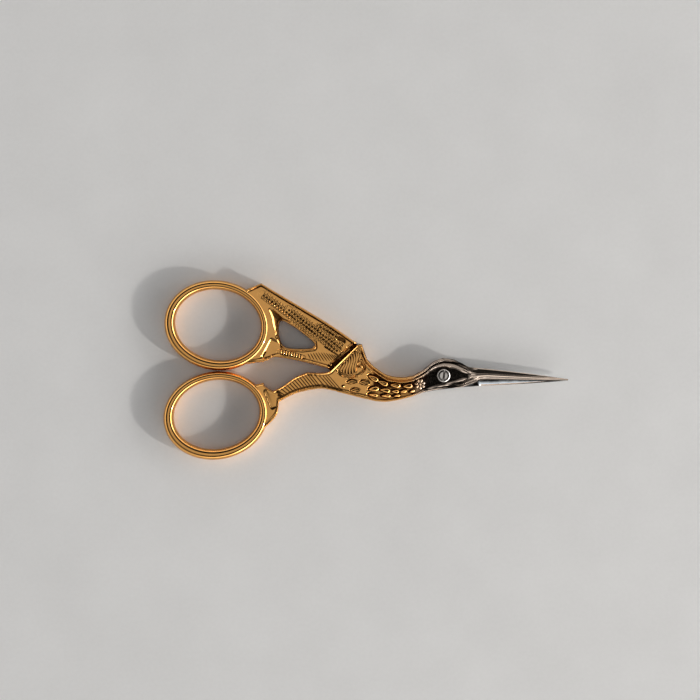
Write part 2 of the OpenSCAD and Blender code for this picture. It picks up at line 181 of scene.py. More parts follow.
def rim_section(w, stretch):
    """Border with a groove and a slope beside it, widened where the stations cross it at a slant."""
    return from_edges(w, [(u * stretch, h) for u, h in CROWN_RIM],
        [(1.4, 1.42), (1.0, 1.38), (0.7, 1.2), (0.55, 1.36), (0.32, 1.46), (0.14, 1.4), (0, 1.1)])


def crown_section(w):
    return rim_section(w, 2.3)


def bend_section(w):
    return rim_section(w, 1.45)


def neck_section(w):
    return from_edges(w,
        [(0, 1.22), (0.1, 1.45), (0.26, 1.57), (0.42, 1.54), (0.6, 1.26), (0.76, 1.26), (0.94, 1.52),
         (1.1, 1.5), (1.34, 1.02)],
        [(1.05, 1.02), (0.75, 0.98), (0.56, 0.98), (0.44, 1.3), (0.3, 1.45), (0.14, 1.42), (0, 1.12)])


def head_section(w):
    return from_edges(w,
        [(0, 1.15), (0.1, 1.32), (0.3, 1.42), (0.5, 1.38), (0.68, 1.0), (0.85, 1.0), (1.15, 1.5), (1.6, 1.54),
         (2.05, 0.98)],
        [(1.75, 0.98), (1.2, 1.2), (0.85, 1.32), (0.62, 1.05), (0.48, 0.98), (0.28, 1.2), (0, 0.98)])


def chin_section(w):
    return from_edges(w,
        [(0, 0.85), (0.1, 1.02), (0.26, 1.05), (0.42, 0.72), (0.68, 0.72), (0.86, 1.05), (1.1, 1.4),
         (1.55, 1.44), (1.95, 1.08)],
        [(2.4, 1.05), (1.6, 1.25), (1.15, 0.7), (0.82, 1.0), (0.48, 0.6), (0.2, 0.82), (0, 0.5)])


def cheek_section(w):
    """Root of the blade, where the borders of the head run out into its ridge."""
    return from_edges(w,
        [(0, 0.6), (0.1, 0.82), (0.24, 0.84), (0.44, 0.62), (0.75, 0.7), (1.05, 0.84), (1.35, 1.02),
         (1.6, 1.2), (1.75, 1.18)],
        [(1.85, 0.98), (1.5, 1.0), (1.12, 0.56), (0.86, 0.72), (0.5, 0.38), (0.2, 0.33), (0, 0.2)])


def blade_section(w, height=1.2, back=0.38):
    """Hollow towards the back edge and falling to the cutting edge, at any width."""
    ups = [(0, back), (0.03, back + 0.1), (0.07, 0.56), (0.15, 0.635), (0.24, 0.73), (0.32, 0.82),
           (0.39, 0.91), (0.44, 0.98), (0.475, 1.0)]
    downs = [(0.51, 0.965), (0.6, 0.87), (0.68, 0.74), (0.77, 0.45), (0.86, 0.19), (0.94, 0.09), (1.0, 0.055)]
    return np.array([(v, h * height) for v, h in ups + downs])


def turned(section):
    """The section with its upper edge below, for the half whose back is on that side."""
    return section[::-1] * [-1, 1] + [1, 0]


def low_blade_section(w):
    return turned(blade_section(w))


def low_tip_section(w):
    return turned(tip_section(w))


def tip_section(w):
    return blade_section(w, 0.35, 0.5)


def wing_section(w):
    return from_edges(w,
        [(0, 1.2), (0.08, 1.46), (0.2, 1.58), (0.44, 1.58), (0.52, 1.12), (0.62, 1.12), (0.74, 1.34),
         (1.0, 1.36), (1.4, 1.36)],
        [(1.3, 1.34), (0.95, 1.32), (0.72, 1.16), (0.58, 1.3), (0.34, 1.46), (0.14, 1.4), (0, 1.1)])


def wing_root_section(w):
    return from_edges(w,
        [(0, 1.1), (0.1, 1.32), (0.24, 1.4), (0.46, 1.4), (0.6, 1.28), (0.7, 1.25), (0.84, 1.3), (1.0, 1.32),
         (1.4, 1.32)],
        [(1.3, 1.25), (0.95, 1.2), (0.7, 1.15), (0.56, 1.25), (0.34, 1.3), (0.14, 1.2), (0, 0.9)])


def heel_section(w):
    return wing_section(w) * [1, 0.8]


# Part: meshes

def new_object(name, mesh):
    obj = bpy.data.objects.new(name, mesh)
    bpy.context.scene.collection.objects.link(obj)
    return obj


def from_arrays(name, verts, faces):
    mesh = bpy.data.meshes.new(name)
    mesh.from_pydata([tuple(v) for v in verts], [], [tuple(f) for f in faces])
    mesh.update()
    return new_object(name, mesh)


def stations(bays, spacing):
    """Rows of (upper edge point, lower edge point, width, section) along a half.

    A bay is (pairs of edge points, its sections in order, number of steps or None for the spacing).
    """
    rows = []
    for n, (pairs, sections, count) in enumerate(bays):
        ups = np.array([p[0] for p in pairs])
        lows = np.array([p[1] for p in pairs])
        if count is None:
            length = np.linalg.norm(np.diff((ups + lows) / 2, axis=0), axis=1).sum()
            count = max(2, int(math.ceil(length / spacing)))
        f = np.linspace(0, 1, count + 1)[0 if n == 0 else 1:]
        a = smooth_line(ups, f * (len(pairs) - 1))
        b = smooth_line(lows, f * (len(pairs) - 1))
        for k in range(len(f)):
            w = float(np.linalg.norm(a[k] - b[k]))
            place = f[k] * (len(sections) - 1)
            i = min(int(place), len(sections) - 2)
            rows.append((a[k], b[k], w, mix(sections[i](w), sections[i + 1](w), place - i)))
    return rows


SOFTEN = 0.05
# How strongly the columns of a skin crowd towards its edges
CROWDING = 0.07


def sampled(section, v, w):
    """Heights of a section at shares v of the width, with its corners rounded."""
    h = np.interp(v, section[:, 0], section[:, 1])
    reach = SOFTEN / w
    side = np.interp(np.clip(v - reach, 0, 1), section[:, 0], section[:, 1])
    other = np.interp(np.clip(v + reach, 0, 1), section[:, 0], section[:, 1])
    return 0.4 * h + 0.3 * side + 0.3 * other


def skin(name, bays, front_columns, back_columns, spacing, relief, back_relief):
    """Closed shell over a run of stations, carved on its front and its back."""
    rows = stations(bays, spacing)
    verts = []
    for a, b, w, section in rows:
        for columns, carve, side in ((front_columns, relief, 1), (back_columns, back_relief, -1)):
            v = np.linspace(0, 1, columns)
            v -= CROWDING * np.sin(2 * np.pi * v)
            xy = a[None] + (b - a)[None] * v[:, None]
            h = carve(xy, w, v, sampled(section, v, w))
            verts.append(np.column_stack([xy, LAP_Z + side * h])[::side])
    n = front_columns + back_columns
    m = len(rows)
    verts = np.vstack(verts)
    i, j = np.meshgrid(np.arange(m - 1), np.arange(n), indexing="ij")
    k = (j + 1) % n
    quads = np.stack([i * n + j, i * n + k, (i + 1) * n + k, (i + 1) * n + j], -1).reshape(-1, 4)
    ends = [tuple(range(n))[::-1], tuple(range((m - 1) * n, m * n))]
    return outward(from_arrays(name, verts, [tuple(q) for q in quads.tolist()] + ends))


def outward(obj):
    """Faces of a closed shell turned to point outwards."""
    bm = bmesh.new()
    bm.from_mesh(obj.data)
    bmesh.ops.triangulate(bm, faces=[f for f in bm.faces if len(f.verts) > 4], ngon_method="EAR_CLIP")
    bmesh.ops.recalc_face_normals(bm, faces=bm.faces[:])
    bm.to_mesh(obj.data)
    bm.free()
    return obj


def band(name, centre_line, outs, widths, height, sides=36):
    """Rounded band swept round a closed line."""
    f = 2 * np.pi * (np.arange(sides) + 0.5) / sides
    c, s = np.cos(f), np.sin(f)
    verts = []
    for p, o, w, tall in zip(centre_line, outs, widths, np.broadcast_to(height, len(centre_line))):
        x, y = p[0] + o[0] * w / 2 * c, p[1] + o[1] * w / 2 * c
        verts.append(np.column_stack([x, y, LAP_Z + s * tall / 2]))
    m, n = len(centre_line), sides
    i, j = np.meshgrid(np.arange(m), np.arange(n), indexing="ij")
    u, k = (i + 1) % m, (j + 1) % n
    quads = np.stack([i * n + j, i * n + k, u * n + k, u * n + j], -1).reshape(-1, 4)
    return outward(from_arrays(name, np.vstack(verts), quads.tolist()))


def prism(name, outline, z0=BELOW, z1=ABOVE):
    """Upright block over an outline, right through the part unless it's given its heights."""
    n = len(outline)
    verts = [(x, y, z0) for x, y in outline] + [(x, y, z1) for x, y in outline]
    faces = [tuple(range(n))[::-1], tuple(range(n, 2 * n))]
    faces += [(k, (k + 1) % n, n + (k + 1) % n, n + k) for k in range(n)]
    return outward(from_arrays(name, verts, faces))


ROUND_SIDES = 96


def round_prism(name, r, z0=BELOW, z1=ABOVE):
    """Round block on the pivot's axis."""
    f = 2 * np.pi * np.arange(ROUND_SIDES) / ROUND_SIDES
    return prism(name, np.column_stack([r * np.cos(f), r * np.sin(f)]).tolist(), z0, z1)


def baked(obj):
    """The object's mesh with its modifiers applied."""
    depsgraph = bpy.context.evaluated_depsgraph_get()
    mesh = bpy.data.meshes.new_from_object(obj.evaluated_get(depsgraph))
    obj.modifiers.clear()
    obj.data = mesh
    return obj


def combined(obj, operation, others):
    """obj united with, or cut by, the other closed shells, which are used up."""
    for other in others:
        m = obj.modifiers.new(operation, "BOOLEAN")
        m.object = other
        m.operation = operation
        m.solver = "MANIFOLD"
        baked(obj)
        bpy.data.objects.remove(other)
    return obj


# Part: nodes

def new_tree(name, inputs):
    tree = bpy.data.node_groups.new(name, "GeometryNodeTree")
    tree.interface.new_socket("Geometry", in_out="INPUT", socket_type="NodeSocketGeometry")
    for label, kind, value in inputs:
        socket = tree.interface.new_socket(label, in_out="INPUT", socket_type=kind)
        if value is not None:
            socket.default_value = value
    tree.interface.new_socket("Geometry", in_out="OUTPUT", socket_type="NodeSocketGeometry")
    return tree, tree.nodes.new("NodeGroupInput"), tree.nodes.new("NodeGroupOutput")


def linked(tree, kind, values=None, **settings):
    """New node with its settings; values go to its inputs, as numbers or as links."""
    n = tree.nodes.new(kind)
    for key, value in settings.items():
        setattr(n, key, value)
    for key, value in (values or {}).items():
        if isinstance(value, bpy.types.NodeSocket):
            tree.links.new(value, n.inputs[key])
        else:
            n.inputs[key].default_value = value
    return n


def maths(tree, operation, *values, clamp=False):
    """Output of a new math node, from numbers or links."""
    n = linked(tree, "ShaderNodeMath", dict(enumerate(values)), operation=operation, use_clamp=clamp)
    return n.outputs[0]


def named(tree, name, kind):
    n = linked(tree, "GeometryNodeInputNamedAttribute", {"Name": name}, data_type=kind)
    return n.outputs["Attribute"]


def finish_tree(tree, geometry, gin, gout):
    """Ends a tree in Realize Instances and Set Material."""
    realize = linked(tree, "GeometryNodeRealizeInstances", {"Geometry": geometry})
    paint = linked(tree, "GeometryNodeSetMaterial",
                   {"Geometry": realize.outputs[0], "Material": gin.outputs["Material"]})
    tree.links.new(paint.outputs[0], gout.inputs[0])


def feather_tree():
    """Teardrops set on points: each point gives its turn and its half length, half width and half height."""
    tree, gin, gout = new_tree("set_feathers", [
        ("Segments", "NodeSocketInt", 14), ("Rings", "NodeSocketInt", 9), ("Taper", "NodeSocketFloat", 0.5),
        ("Keel", "NodeSocketFloat", 0.4), ("Material", "NodeSocketMaterial", None)])
    ball = linked(tree, "GeometryNodeMeshUVSphere",
                  {"Segments": gin.outputs["Segments"], "Rings": gin.outputs["Rings"], "Radius": 1.0})
    where = tree.nodes.new("GeometryNodeInputPosition")
    x, y, z = linked(tree, "ShaderNodeSeparateXYZ", {0: where.outputs[0]}).outputs
    narrow = maths(tree, "MULTIPLY_ADD", maths(tree, "MULTIPLY", gin.outputs["Taper"], x), 1.0, 1.0)
    keel = maths(tree, "MULTIPLY", gin.outputs["Keel"], maths(tree, "ABSOLUTE", y))
    low = maths(tree, "MULTIPLY", z, maths(tree, "SUBTRACT", 1.0, keel))
    join = linked(tree, "ShaderNodeCombineXYZ", {0: x, 1: maths(tree, "MULTIPLY", y, narrow), 2: low})
    shape = linked(tree, "GeometryNodeSetPosition",
                   {"Geometry": ball.outputs["Mesh"], "Position": join.outputs[0]})
    turn = linked(tree, "ShaderNodeCombineXYZ", {2: named(tree, "turn", "FLOAT")})
    place = linked(tree, "GeometryNodeInstanceOnPoints",
                   {"Points": gin.outputs["Geometry"], "Instance": shape.outputs[0],
                    "Rotation": turn.outputs[0], "Scale": named(tree, "size", "FLOAT_VECTOR")})
    finish_tree(tree, place.outputs[0], gin, gout)
    return tree


def strand_tree():
    """Rounded strands swept along lines: each point gives the half width there."""
    tree, gin, gout = new_tree("sweep_strands", [
        ("Sides", "NodeSocketInt", 10), ("Flatness", "NodeSocketFloat", 0.6),
        ("Material", "NodeSocketMaterial", None)])
    line = linked(tree, "GeometryNodeMeshToCurve", {"Mesh": gin.outputs["Geometry"]})
    upright = linked(tree, "GeometryNodeSetCurveNormal", {"Curve": line.outputs[0]}, mode="Z_UP")
    circle = linked(tree, "GeometryNodeCurvePrimitiveCircle",
                    {"Resolution": gin.outputs["Sides"], "Radius": 1.0})
    flat = linked(tree, "ShaderNodeCombineXYZ", {0: 1.0, 1: gin.outputs["Flatness"], 2: 1.0})
    press = linked(tree, "GeometryNodeTransform", {"Geometry": circle.outputs[0], "Scale": flat.outputs[0]})
    sweep = linked(tree, "GeometryNodeCurveToMesh",
                   {"Curve": upright.outputs[0], "Profile Curve": press.outputs[0], "Fill Caps": True,
                    "Scale": named(tree, "girth", "FLOAT")})
    finish_tree(tree, sweep.outputs[0], gin, gout)
    return tree


FEATHER_TREE, STRAND_TREE = feather_tree(), strand_tree()


def dressed(obj, tree, **values):
    """The object's points or lines turned into the tree's shapes."""
    m = obj.modifiers.new(tree.name, "NODES")
    m.node_group = tree
    for item in tree.interface.items_tree:
        if item.in_out == "INPUT" and item.name in values:
            m[item.identifier] = values[item.name]
    return baked(obj)


def write_floats(mesh, name, values):
    mesh.attributes.new(name, "FLOAT", "POINT").data.foreach_set("value", np.array(values, np.float32))


def feathers(name, rows, back=False, segments=14, rings=9, taper=0.5, keel=0.4):
    """rows of (x, y, height above the lap, half length, half width, half height, turn in degrees)."""
    rows = np.array(rows, float)
    z = LAP_Z - rows[:, 2] if back else LAP_Z + rows[:, 2]
    obj = from_arrays(name, np.column_stack([rows[:, :2], z]), [])
    write_floats(obj.data, "turn", np.radians(rows[:, 6]))
    size = obj.data.attributes.new("size", "FLOAT_VECTOR", "POINT")
    size.data.foreach_set("vector", rows[:, 3:6].astype(np.float32).ravel())
    return dressed(obj, FEATHER_TREE, Segments=segments, Rings=rings, Taper=taper, Keel=keel)


def strands(name, lines, back=False, sides=10, flatness=0.6):
    """lines of (points in x, y and height above the lap, half widths)."""
    verts, edges, girth = [], [], []
    for points, widths in lines:
        start = len(verts)
        for (x, y, h), w in zip(points, widths):
            verts.append((x, y, LAP_Z - h if back else LAP_Z + h))
            girth.append(w)
        edges += [(start + k, start + k + 1) for k in range(len(points) - 1)]
    mesh = bpy.data.meshes.new(name)
    mesh.from_pydata(verts, edges, [])
    write_floats(mesh, "girth", girth)
    return dressed(new_object(name, mesh), STRAND_TREE, Sides=sides, Flatness=flatness)


def distance(xy, line):
    """Distance from each point to a line of points."""
    line = np.asarray(line, float)
    a, d = line[:-1], np.diff(line, axis=0)
    rel = xy[:, None] - a[None]
    t = np.clip((rel * d).sum(-1) / (d * d).sum(-1), 0, 1)
    return np.linalg.norm(rel - t[..., None] * d, axis=-1).min(1)


def tapered(points, count, girth, h, ends=0.25):
    """A strand along a smooth line at height h, thin at both ends."""
    p = smooth_line(points, np.linspace(0, len(points) - 1, count))
    f = np.linspace(0, 1, count)
    w = girth * (ends + (1 - ends) * np.sin(np.pi * f) ** 0.6)
    return np.column_stack([p, np.full(count, h)]), w


# Feathers of the neck and leaves of the body: x, y, half length, half width, turn in degrees
NECK_FEATHERS = [
    (-16.1, -0.55, 1.3, 0.56, -27), (-13.95, -1.65, 1.28, 0.54, -20), (-11.1, -2.2, 1.25, 0.54, -5),
    (-8.25, -2.4, 1.15, 0.52, 6), (-16.0, -3.05, 1.25, 0.52, 6), (-13.4, -3.35, 1.25, 0.5, -8),
    (-11.05, -3.62, 0.95, 0.44, -2), (-9.2, -3.62, 0.9, 0.4, 12), (-16.1, -4.42, 1.25, 0.4, -6),
    (-13.2, -4.62, 1.25, 0.4, 0), (-10.7, -4.6, 1.0, 0.34, 8), (-7.2, -3.6, 0.8, 0.36, 22)]
BODY_LEAVES = [(-20.85, -1.46, 1.2, 0.48, 4), (-17.95, -1.62, 1.25, 0.52, -4), (-20.15, -3.35, 1.2, 0.46, 2),
               (-22.75, -2.5, 0.35, 0.24, 30), (-18.75, 2.1, 0.5, 0.26, -48)]
# Strands of the tuft, as their lower and their upper ends
TUFT_LOW = [(-23.35, 0.85), (-22.7, 0.45), (-22.0, 0.2), (-21.3, 0.1), (-20.6, 0.25), (-19.95, 0.6),
            (-19.8, 2.3), (-18.9, 3.3)]
TUFT_HIGH = [(-22.7, 2.9), (-22.1, 3.6), (-21.5, 4.2), (-20.95, 4.7), (-20.45, 5.1), (-19.95, 5.4),
             (-19.5, 5.4), (-19.1, 5.0)]
TUFT_GIRTH = 0.33
ROSETTE = (-5.4, -1.95)
ROSETTE_R = 1.28
PETALS = 7


def rosette(h):
    """Round middle with petals round it."""
    x, y = ROSETTE
    r = ROSETTE_R
    rows = [(x, y, h + 0.1, r * 0.26, r * 0.26, 0.3, 0)]
    for k in range(PETALS):
        f = 2 * math.pi * k / PETALS + 0.3
        px, py = x + math.cos(f) * r * 0.62, y + math.sin(f) * r * 0.62
        rows.append((px, py, h, r * 0.36, r * 0.26, 0.32, math.degrees(f)))
    return rows


STIPPLE_BEADS = 230
STIPPLE_SEED = 7
CLEAR_OF_SCREW, CLEAR_OF_ROSETTE = 1.75, 1.45


def stipple():
    """Small beads over the field round the eye, clear of the screw's seat and the rosette."""
    random = np.random.default_rng(STIPPLE_SEED)
    rows = []
    ups, lows = np.array([p[0] for p in THROAT]), np.array([p[1] for p in THROAT])
    while len(rows) < STIPPLE_BEADS:
        t, v, r = random.uniform(6.1, 9.9), random.uniform(0.32, 0.86), random.uniform(0.05, 0.1)
        x, y = mix(smooth_line(ups, [t])[0], smooth_line(lows, [t])[0], v)
        beside_rosette = math.hypot(x - ROSETTE[0], y - ROSETTE[1]) > CLEAR_OF_ROSETTE
        if math.hypot(x, y) > CLEAR_OF_SCREW and beside_rosette:
            rows.append((x, y, 1.0, r, r, r, 0))
    return rows


def side_name(back):
    return "back" if back else "front"


def neck_detail(back):
    """Feathers, rosette, beads and tuft of the neck and body."""
    side = side_name(back)
    rows = [(x, y, 1.06, a, b, 0.46, t) for x, y, a, b, t in NECK_FEATHERS]
    rows += [(x, y, 1.24, a, b, 0.32, t) for x, y, a, b, t in BODY_LEAVES]
    rows.append((*ROSETTE, 0.95, 1.3, 1.3, 0.22, 0))
    parts = [feathers("feathers_" + side, rows, back),
             feathers("rosette_" + side, rosette(1.12), back, taper=0.3),
             feathers("stipple_" + side, stipple(), back, 6, 4, 0.0, 0.0)]
    lines = []
    for low, high in zip(TUFT_LOW, TUFT_HIGH):
        a = mix(np.array(high), np.array(low), 0.33) + [0.22, 0.1]
        b = mix(np.array(high), np.array(low), 0.7) + [-0.2, -0.1]
        lines.append(tapered([high, tuple(a), tuple(b), low], 16, TUFT_GIRTH, 1.34, 0.35))
    parts.append(strands("tuft_" + side, lines, back, flatness=0.42))
    return parts


# Leg from the bow to the body: pairs of an upper and a lower edge point
LEG_START = [(-38.8, -3.523), (-37.5, -6.043)]
LEG_KNEE = [(-30.99, 0.75), (-30.87, -3.3)]
LEG_FOOT = [(-26.6, 0.8), (-24.85, -3.45)]
SHOULDER = [[SHOULDER_FOOT, (-24.1, -3.7)], [SHOULDER_TOP, (-20.9, -4.5)]]
LEG_UPPER = [LEG_START, [(-36.36, -2.2), (-36.36, -5.35)], [(-33.8, -0.4), (-33.92, -4.15)], LEG_KNEE]
LEG_LOWER = [LEG_KNEE, [(-28.19, 0.65), (-27.82, -2.95)], LEG_FOOT, SHOULDER[0]]
LEG_END = [(-23.6, 3.1), (-21.9, -4.25)]
HATCH_PITCH = 0.66
HATCH_LEAN = 2.7
# Distance along the leg at which it widens into the body, and the pitch from there on
HATCH_TURN = 8.4
HATCH_FOOT_PITCH = 0.92


def leg_detail(back):
    """Slanting ridges between the borders of the leg, which lean towards the body."""
    pairs = LEG_UPPER + LEG_LOWER[1:] + [LEG_END]
    t = np.linspace(0, len(pairs) - 1, 300)
    ups, lows = smooth_line([p[0] for p in pairs], t), smooth_line([p[1] for p in pairs], t)
    s = np.concatenate([[0], np.cumsum(np.linalg.norm(np.diff((ups + lows) / 2, axis=0), axis=1))])
    lines = []
    starts = np.concatenate([np.arange(0.6 - HATCH_LEAN, HATCH_TURN, HATCH_PITCH),
                             np.arange(HATCH_TURN, s[-1] - HATCH_LEAN, HATCH_FOOT_PITCH)])
    for at in starts:
        a = np.array([np.interp(max(at, 0.3), s, ups[:, k]) for k in (0, 1)])
        b = np.array([np.interp(at + HATCH_LEAN, s, lows[:, k]) for k in (0, 1)])
        if at < 0:
            a = mix(a, np.array([np.interp(0.3, s, lows[:, k]) for k in (0, 1)]), -at / HATCH_LEAN)
        run = (b - a) / np.linalg.norm(b - a)
        start = a + run * (0.45 if b[0] < -25.5 else 0.9)
        end = b - run * 0.75
        if (end - start) @ run > 0.4:
            foot = step(-31.0, -26.0, (start[0] + end[0]) / 2)
            line = [tuple(start), tuple(mix(start, end, 0.5)), tuple(end)]
            lines.append(tapered(line, 7, 0.15 - 0.04 * foot, 1.36 + 0.06 * foot, 0.6))
    return [strands("hatch_" + side_name(back), lines, back, sides=8, flatness=0.8)]


# Seams between the rows of short bars on the wing
SEAM_A = [(-41.2, 18.45), (-36.85, 15.25), (-33.2, 12.49), (-28.85, 9.3), (-25.6, 6.75), (-24.2, 5.6)]
SEAM_B = [(-35.5, 15.1), (-30.6, 11.6), (-26.8, 8.8), (-25.0, 7.3), (-23.0, 5.9)]
SEAM_C = [(-28.3, 11.2), (-26.5, 10.17), (-25.2, 9.35), (-22.2, 7.4)]
# Each row of bars: the seam that it follows, its first and last place on it, its distance from it, half a bar
BAR_ROWS = [
    (SEAM_A, 0.0, 1.25, 0.86, 0.88), (SEAM_A, 0.0, 5.0, -0.48, 0.5), (SEAM_B, 0.15, 4.0, -0.42, 0.44),
    (SEAM_B, 0.1, 1.45, 0.84, 0.82), (SEAM_B, 1.9, 4.0, 0.42, 0.44), (SEAM_C, 0.0, 3.0, -0.44, 0.46),
    (SEAM_C, 0.0, 3.0, 0.44, 0.44)]
BAR_PITCH, STRUT_PITCH, BEAD_PITCH = 0.7, 0.6, 0.72
BAR_LEAN = 97
BARBS = 12
WING_BEADS = [(-29.4, 6.4, 1.25, 0.36, 0.36, 0.34, 0), (-39.25, 4.45, 1.1, 0.34, 0.3, 0.4, 0),
              (-41.2, 3.35, 1.0, 0.3, 0.3, 0.4, 0)]
WING_RIB = [(-27.0, 6.6), (-25.2, 5.4), (-23.4, 4.2)]
WING_PIT = [(-24.05, 8.65), (-22.8, 7.95)]
BEAD_ROW = [(-39.9, 17.05), (-34.9, 13.15)]
STRUT_ROW = [(-37.3, 5.5), (-34.8, 4.95), (-32.0, 4.15)]
STRUT_FEET = [(-36.9, 4.8), (-34.5, 4.4), (-32.05, 3.75)]
TUFT_HOOK = [(-19.35, 2.0), (-19.3, 2.95), (-18.75, 2.75), (-18.05, 1.8)]
TUFT_FOOT = [(-23.75, 1.1), (-23.3, 0.55), (-22.8, 0.1), (-22.3, 0.0), (-21.7, -0.3), (-21.1, -0.25),
             (-20.6, -0.2), (-20.0, 0.0), (-19.5, 0.2), (-19.0, 0.55), (-18.4, 1.05), (-17.95, 1.6),
             (-18.0, 2.3), (-18.6, 3.4), (-19.0, 4.3)]


def along(points, spacing):
    """Points and directions at even distances along a smooth line."""
    fine = smooth_line(points, np.linspace(0, len(points) - 1, 400))
    s = np.concatenate([[0], np.cumsum(np.linalg.norm(np.diff(fine, axis=0), axis=1))])
    at = np.arange(spacing / 2, s[-1], spacing)
    x, y = np.interp(at, s, fine[:, 0]), np.interp(at, s, fine[:, 1])
    dx, dy = np.interp(at, s, np.gradient(fine[:, 0])), np.interp(at, s, np.gradient(fine[:, 1]))
    return np.column_stack([x, y]), np.degrees(np.arctan2(dy, dx))


def beside(points, offset):
    """The line moved to its left, looking along it."""
    run = np.gradient(points, axis=0)
    run /= np.linalg.norm(run, axis=1)[:, None]
    return points + offset * np.column_stack([-run[:, 1], run[:, 0]])


def bars_at(spots, turns, h, half_length, half_width, half_height):
    return [(x, y, h, half_length, half_width, half_height, t + BAR_LEAN) for (x, y), t in zip(spots, turns)]


def wing_detail(back):
    """Rows of bars, ladder on the strut, rib, barbs and beads of the wing."""
    side = side_name(back)
    bars = []
    for seam, first, last, offset, half in BAR_ROWS:
        row = beside(smooth_line(seam, np.linspace(first, last, 14)), offset)
        spots, turns = along(row, BAR_PITCH)
        clear = distance(spots, WING_PIT) > 0.5
        bars += bars_at(spots[clear], turns[clear], 1.27, half, 0.32, 0.13)
    bars += bars_at(*along(STRUT_ROW, STRUT_PITCH), 1.24, 0.58, 0.24, 0.2)
    bars += bars_at(*along(BEAD_ROW, BEAD_PITCH), 1.36, 0.26, 0.15, 0.2)
    parts = [feathers("bars_" + side, bars, back, 10, 7, 0.0, 0.1)]
    lines = [tapered(WING_RIB[1:], 8, 0.16, 1.32, 0.5)]
    for k in range(BARBS):
        f = k / (BARBS - 1)
        a = mix(np.array([-30.9, 5.0]), np.array([-24.4, 4.6]), f) + [0, 0.5 * math.sin(math.pi * f)]
        length = mix(1.4, 2.6, math.sin(math.pi * min(f * 1.15, 1)))
        turn = math.radians(mix(-62, -46, f))
        b = a + length * np.array([math.cos(turn), math.sin(turn)])
        lines.append(tapered([tuple(a), tuple((a + b) / 2), tuple(b)], 8, 0.15, 1.3, 0.3))
    parts.append(strands("barbs_" + side, lines, back, sides=8, flatness=1.1))
    parts.append(feathers("bead_" + side, WING_BEADS, back, 16, 10, 0.0, 0.0))
    return parts


def right_of(xy, start, end):
    """Distance of each point to the right of a line, and how far along it the point lies from 0 to 1."""
    start, end = np.array(start, float), np.array(end, float)
    length = np.linalg.norm(end - start)
    run = (end - start) / length
    rel = xy - start
    return rel[:, 0] * run[1] - rel[:, 1] * run[0], rel @ run / length


def facet(xy, start, end, width, slope, rise):
    """Cut beside a line: down at the slope over the width on its right, and gently up again at the rise."""
    right, place = right_of(xy, start, end)
    cut = np.minimum(slope * right, slope * width - rise * (right - width))
    return -np.clip(cut, 0, None) * step(-0.05, 0.1, place) * step(1.05, 0.9, place)


SEAMS = [smooth_line(seam, np.linspace(0, len(seam) - 1, 24)) for seam in (SEAM_A, SEAM_B, SEAM_C)]
WING_DOTS = np.vstack([along(seam, 0.8)[0] for seam in SEAMS] + [along(STRUT_FEET, STRUT_PITCH)[0]])
# Slope beside the window: height up the wing, where it starts and how wide it is
SLOPE_Y = [6.6, 7.84, 9.4, 11.3, 12.6, 13.07, 15.25]
SLOPE_X = [-37.3, -37.78, -38.18, -38.87, -39.1, -39.15, -39.95]
SLOPE_W = [0.25, 0.36, 0.36, 0.73, 1.15, 1.2, 0.3]
# How steeply the slopes fall that catch the light of the window
FALL = 0.72


def window_slope(xy):
    """Cut of the slope that falls from the bow to the window."""
    into = xy[:, 0] - np.interp(xy[:, 1], SLOPE_Y, SLOPE_X)
    wide = np.interp(xy[:, 1], SLOPE_Y, SLOPE_W)
    fall = np.clip(FALL * np.clip(into, 0, wide) - FALL * np.clip(into - wide - 0.5, 0, None), 0, None)
    return -fall * step(6.2, 6.9, xy[:, 1]) * step(15.5, 15.0, xy[:, 1])


def wing_relief(xy, w, v, h):
    """Carving of the wing: rows with their dots, pit, rib, ladder, slopes and the bevel at the heel."""
    inside = np.minimum(v, 1 - v) * w
    seam = np.min([distance(xy, line) for line in SEAMS], axis=0)
    dots = np.linalg.norm(xy[:, None] - WING_DOTS[None], axis=-1).min(1)
    cut = -0.08 * step(1.1, 0.7, seam) - 0.45 * step(0.24, 0.1, dots)
    cut -= 0.2 * step(0.6, 0.48, distance(xy, STRUT_ROW))
    cut -= 0.4 * step(0.22, 0.08, distance(xy, WING_RIB[:2]))
    cut -= 0.7 * step(0.5, 0.25, distance(xy, WING_PIT))
    heel = distance(xy, [HEEL_FOOT, HEEL_TOP])
    cut -= 0.15 * step(0.5, 0.62, heel) * step(0.9, 0.75, heel)
    cut = np.maximum(cut, -0.75) * step(0.5, 0.8, inside)
    cut -= FALL * np.clip(0.24 - heel, 0, None)
    window = distance(xy, WINDOW + WINDOW[:1])
    cut -= 0.12 * step(0.5, 0.6, window) * step(0.95, 0.75, window)
    cut -= 0.35 * step(0.2, 0.08, distance(xy, [(-40.55, 5.35), (-41.05, 4.55)]))
    return h + cut + window_slope(xy) + facet(xy, (-41.7, 4.2), (-39.4, 8.7), 0.45, 0.75, 0.12)


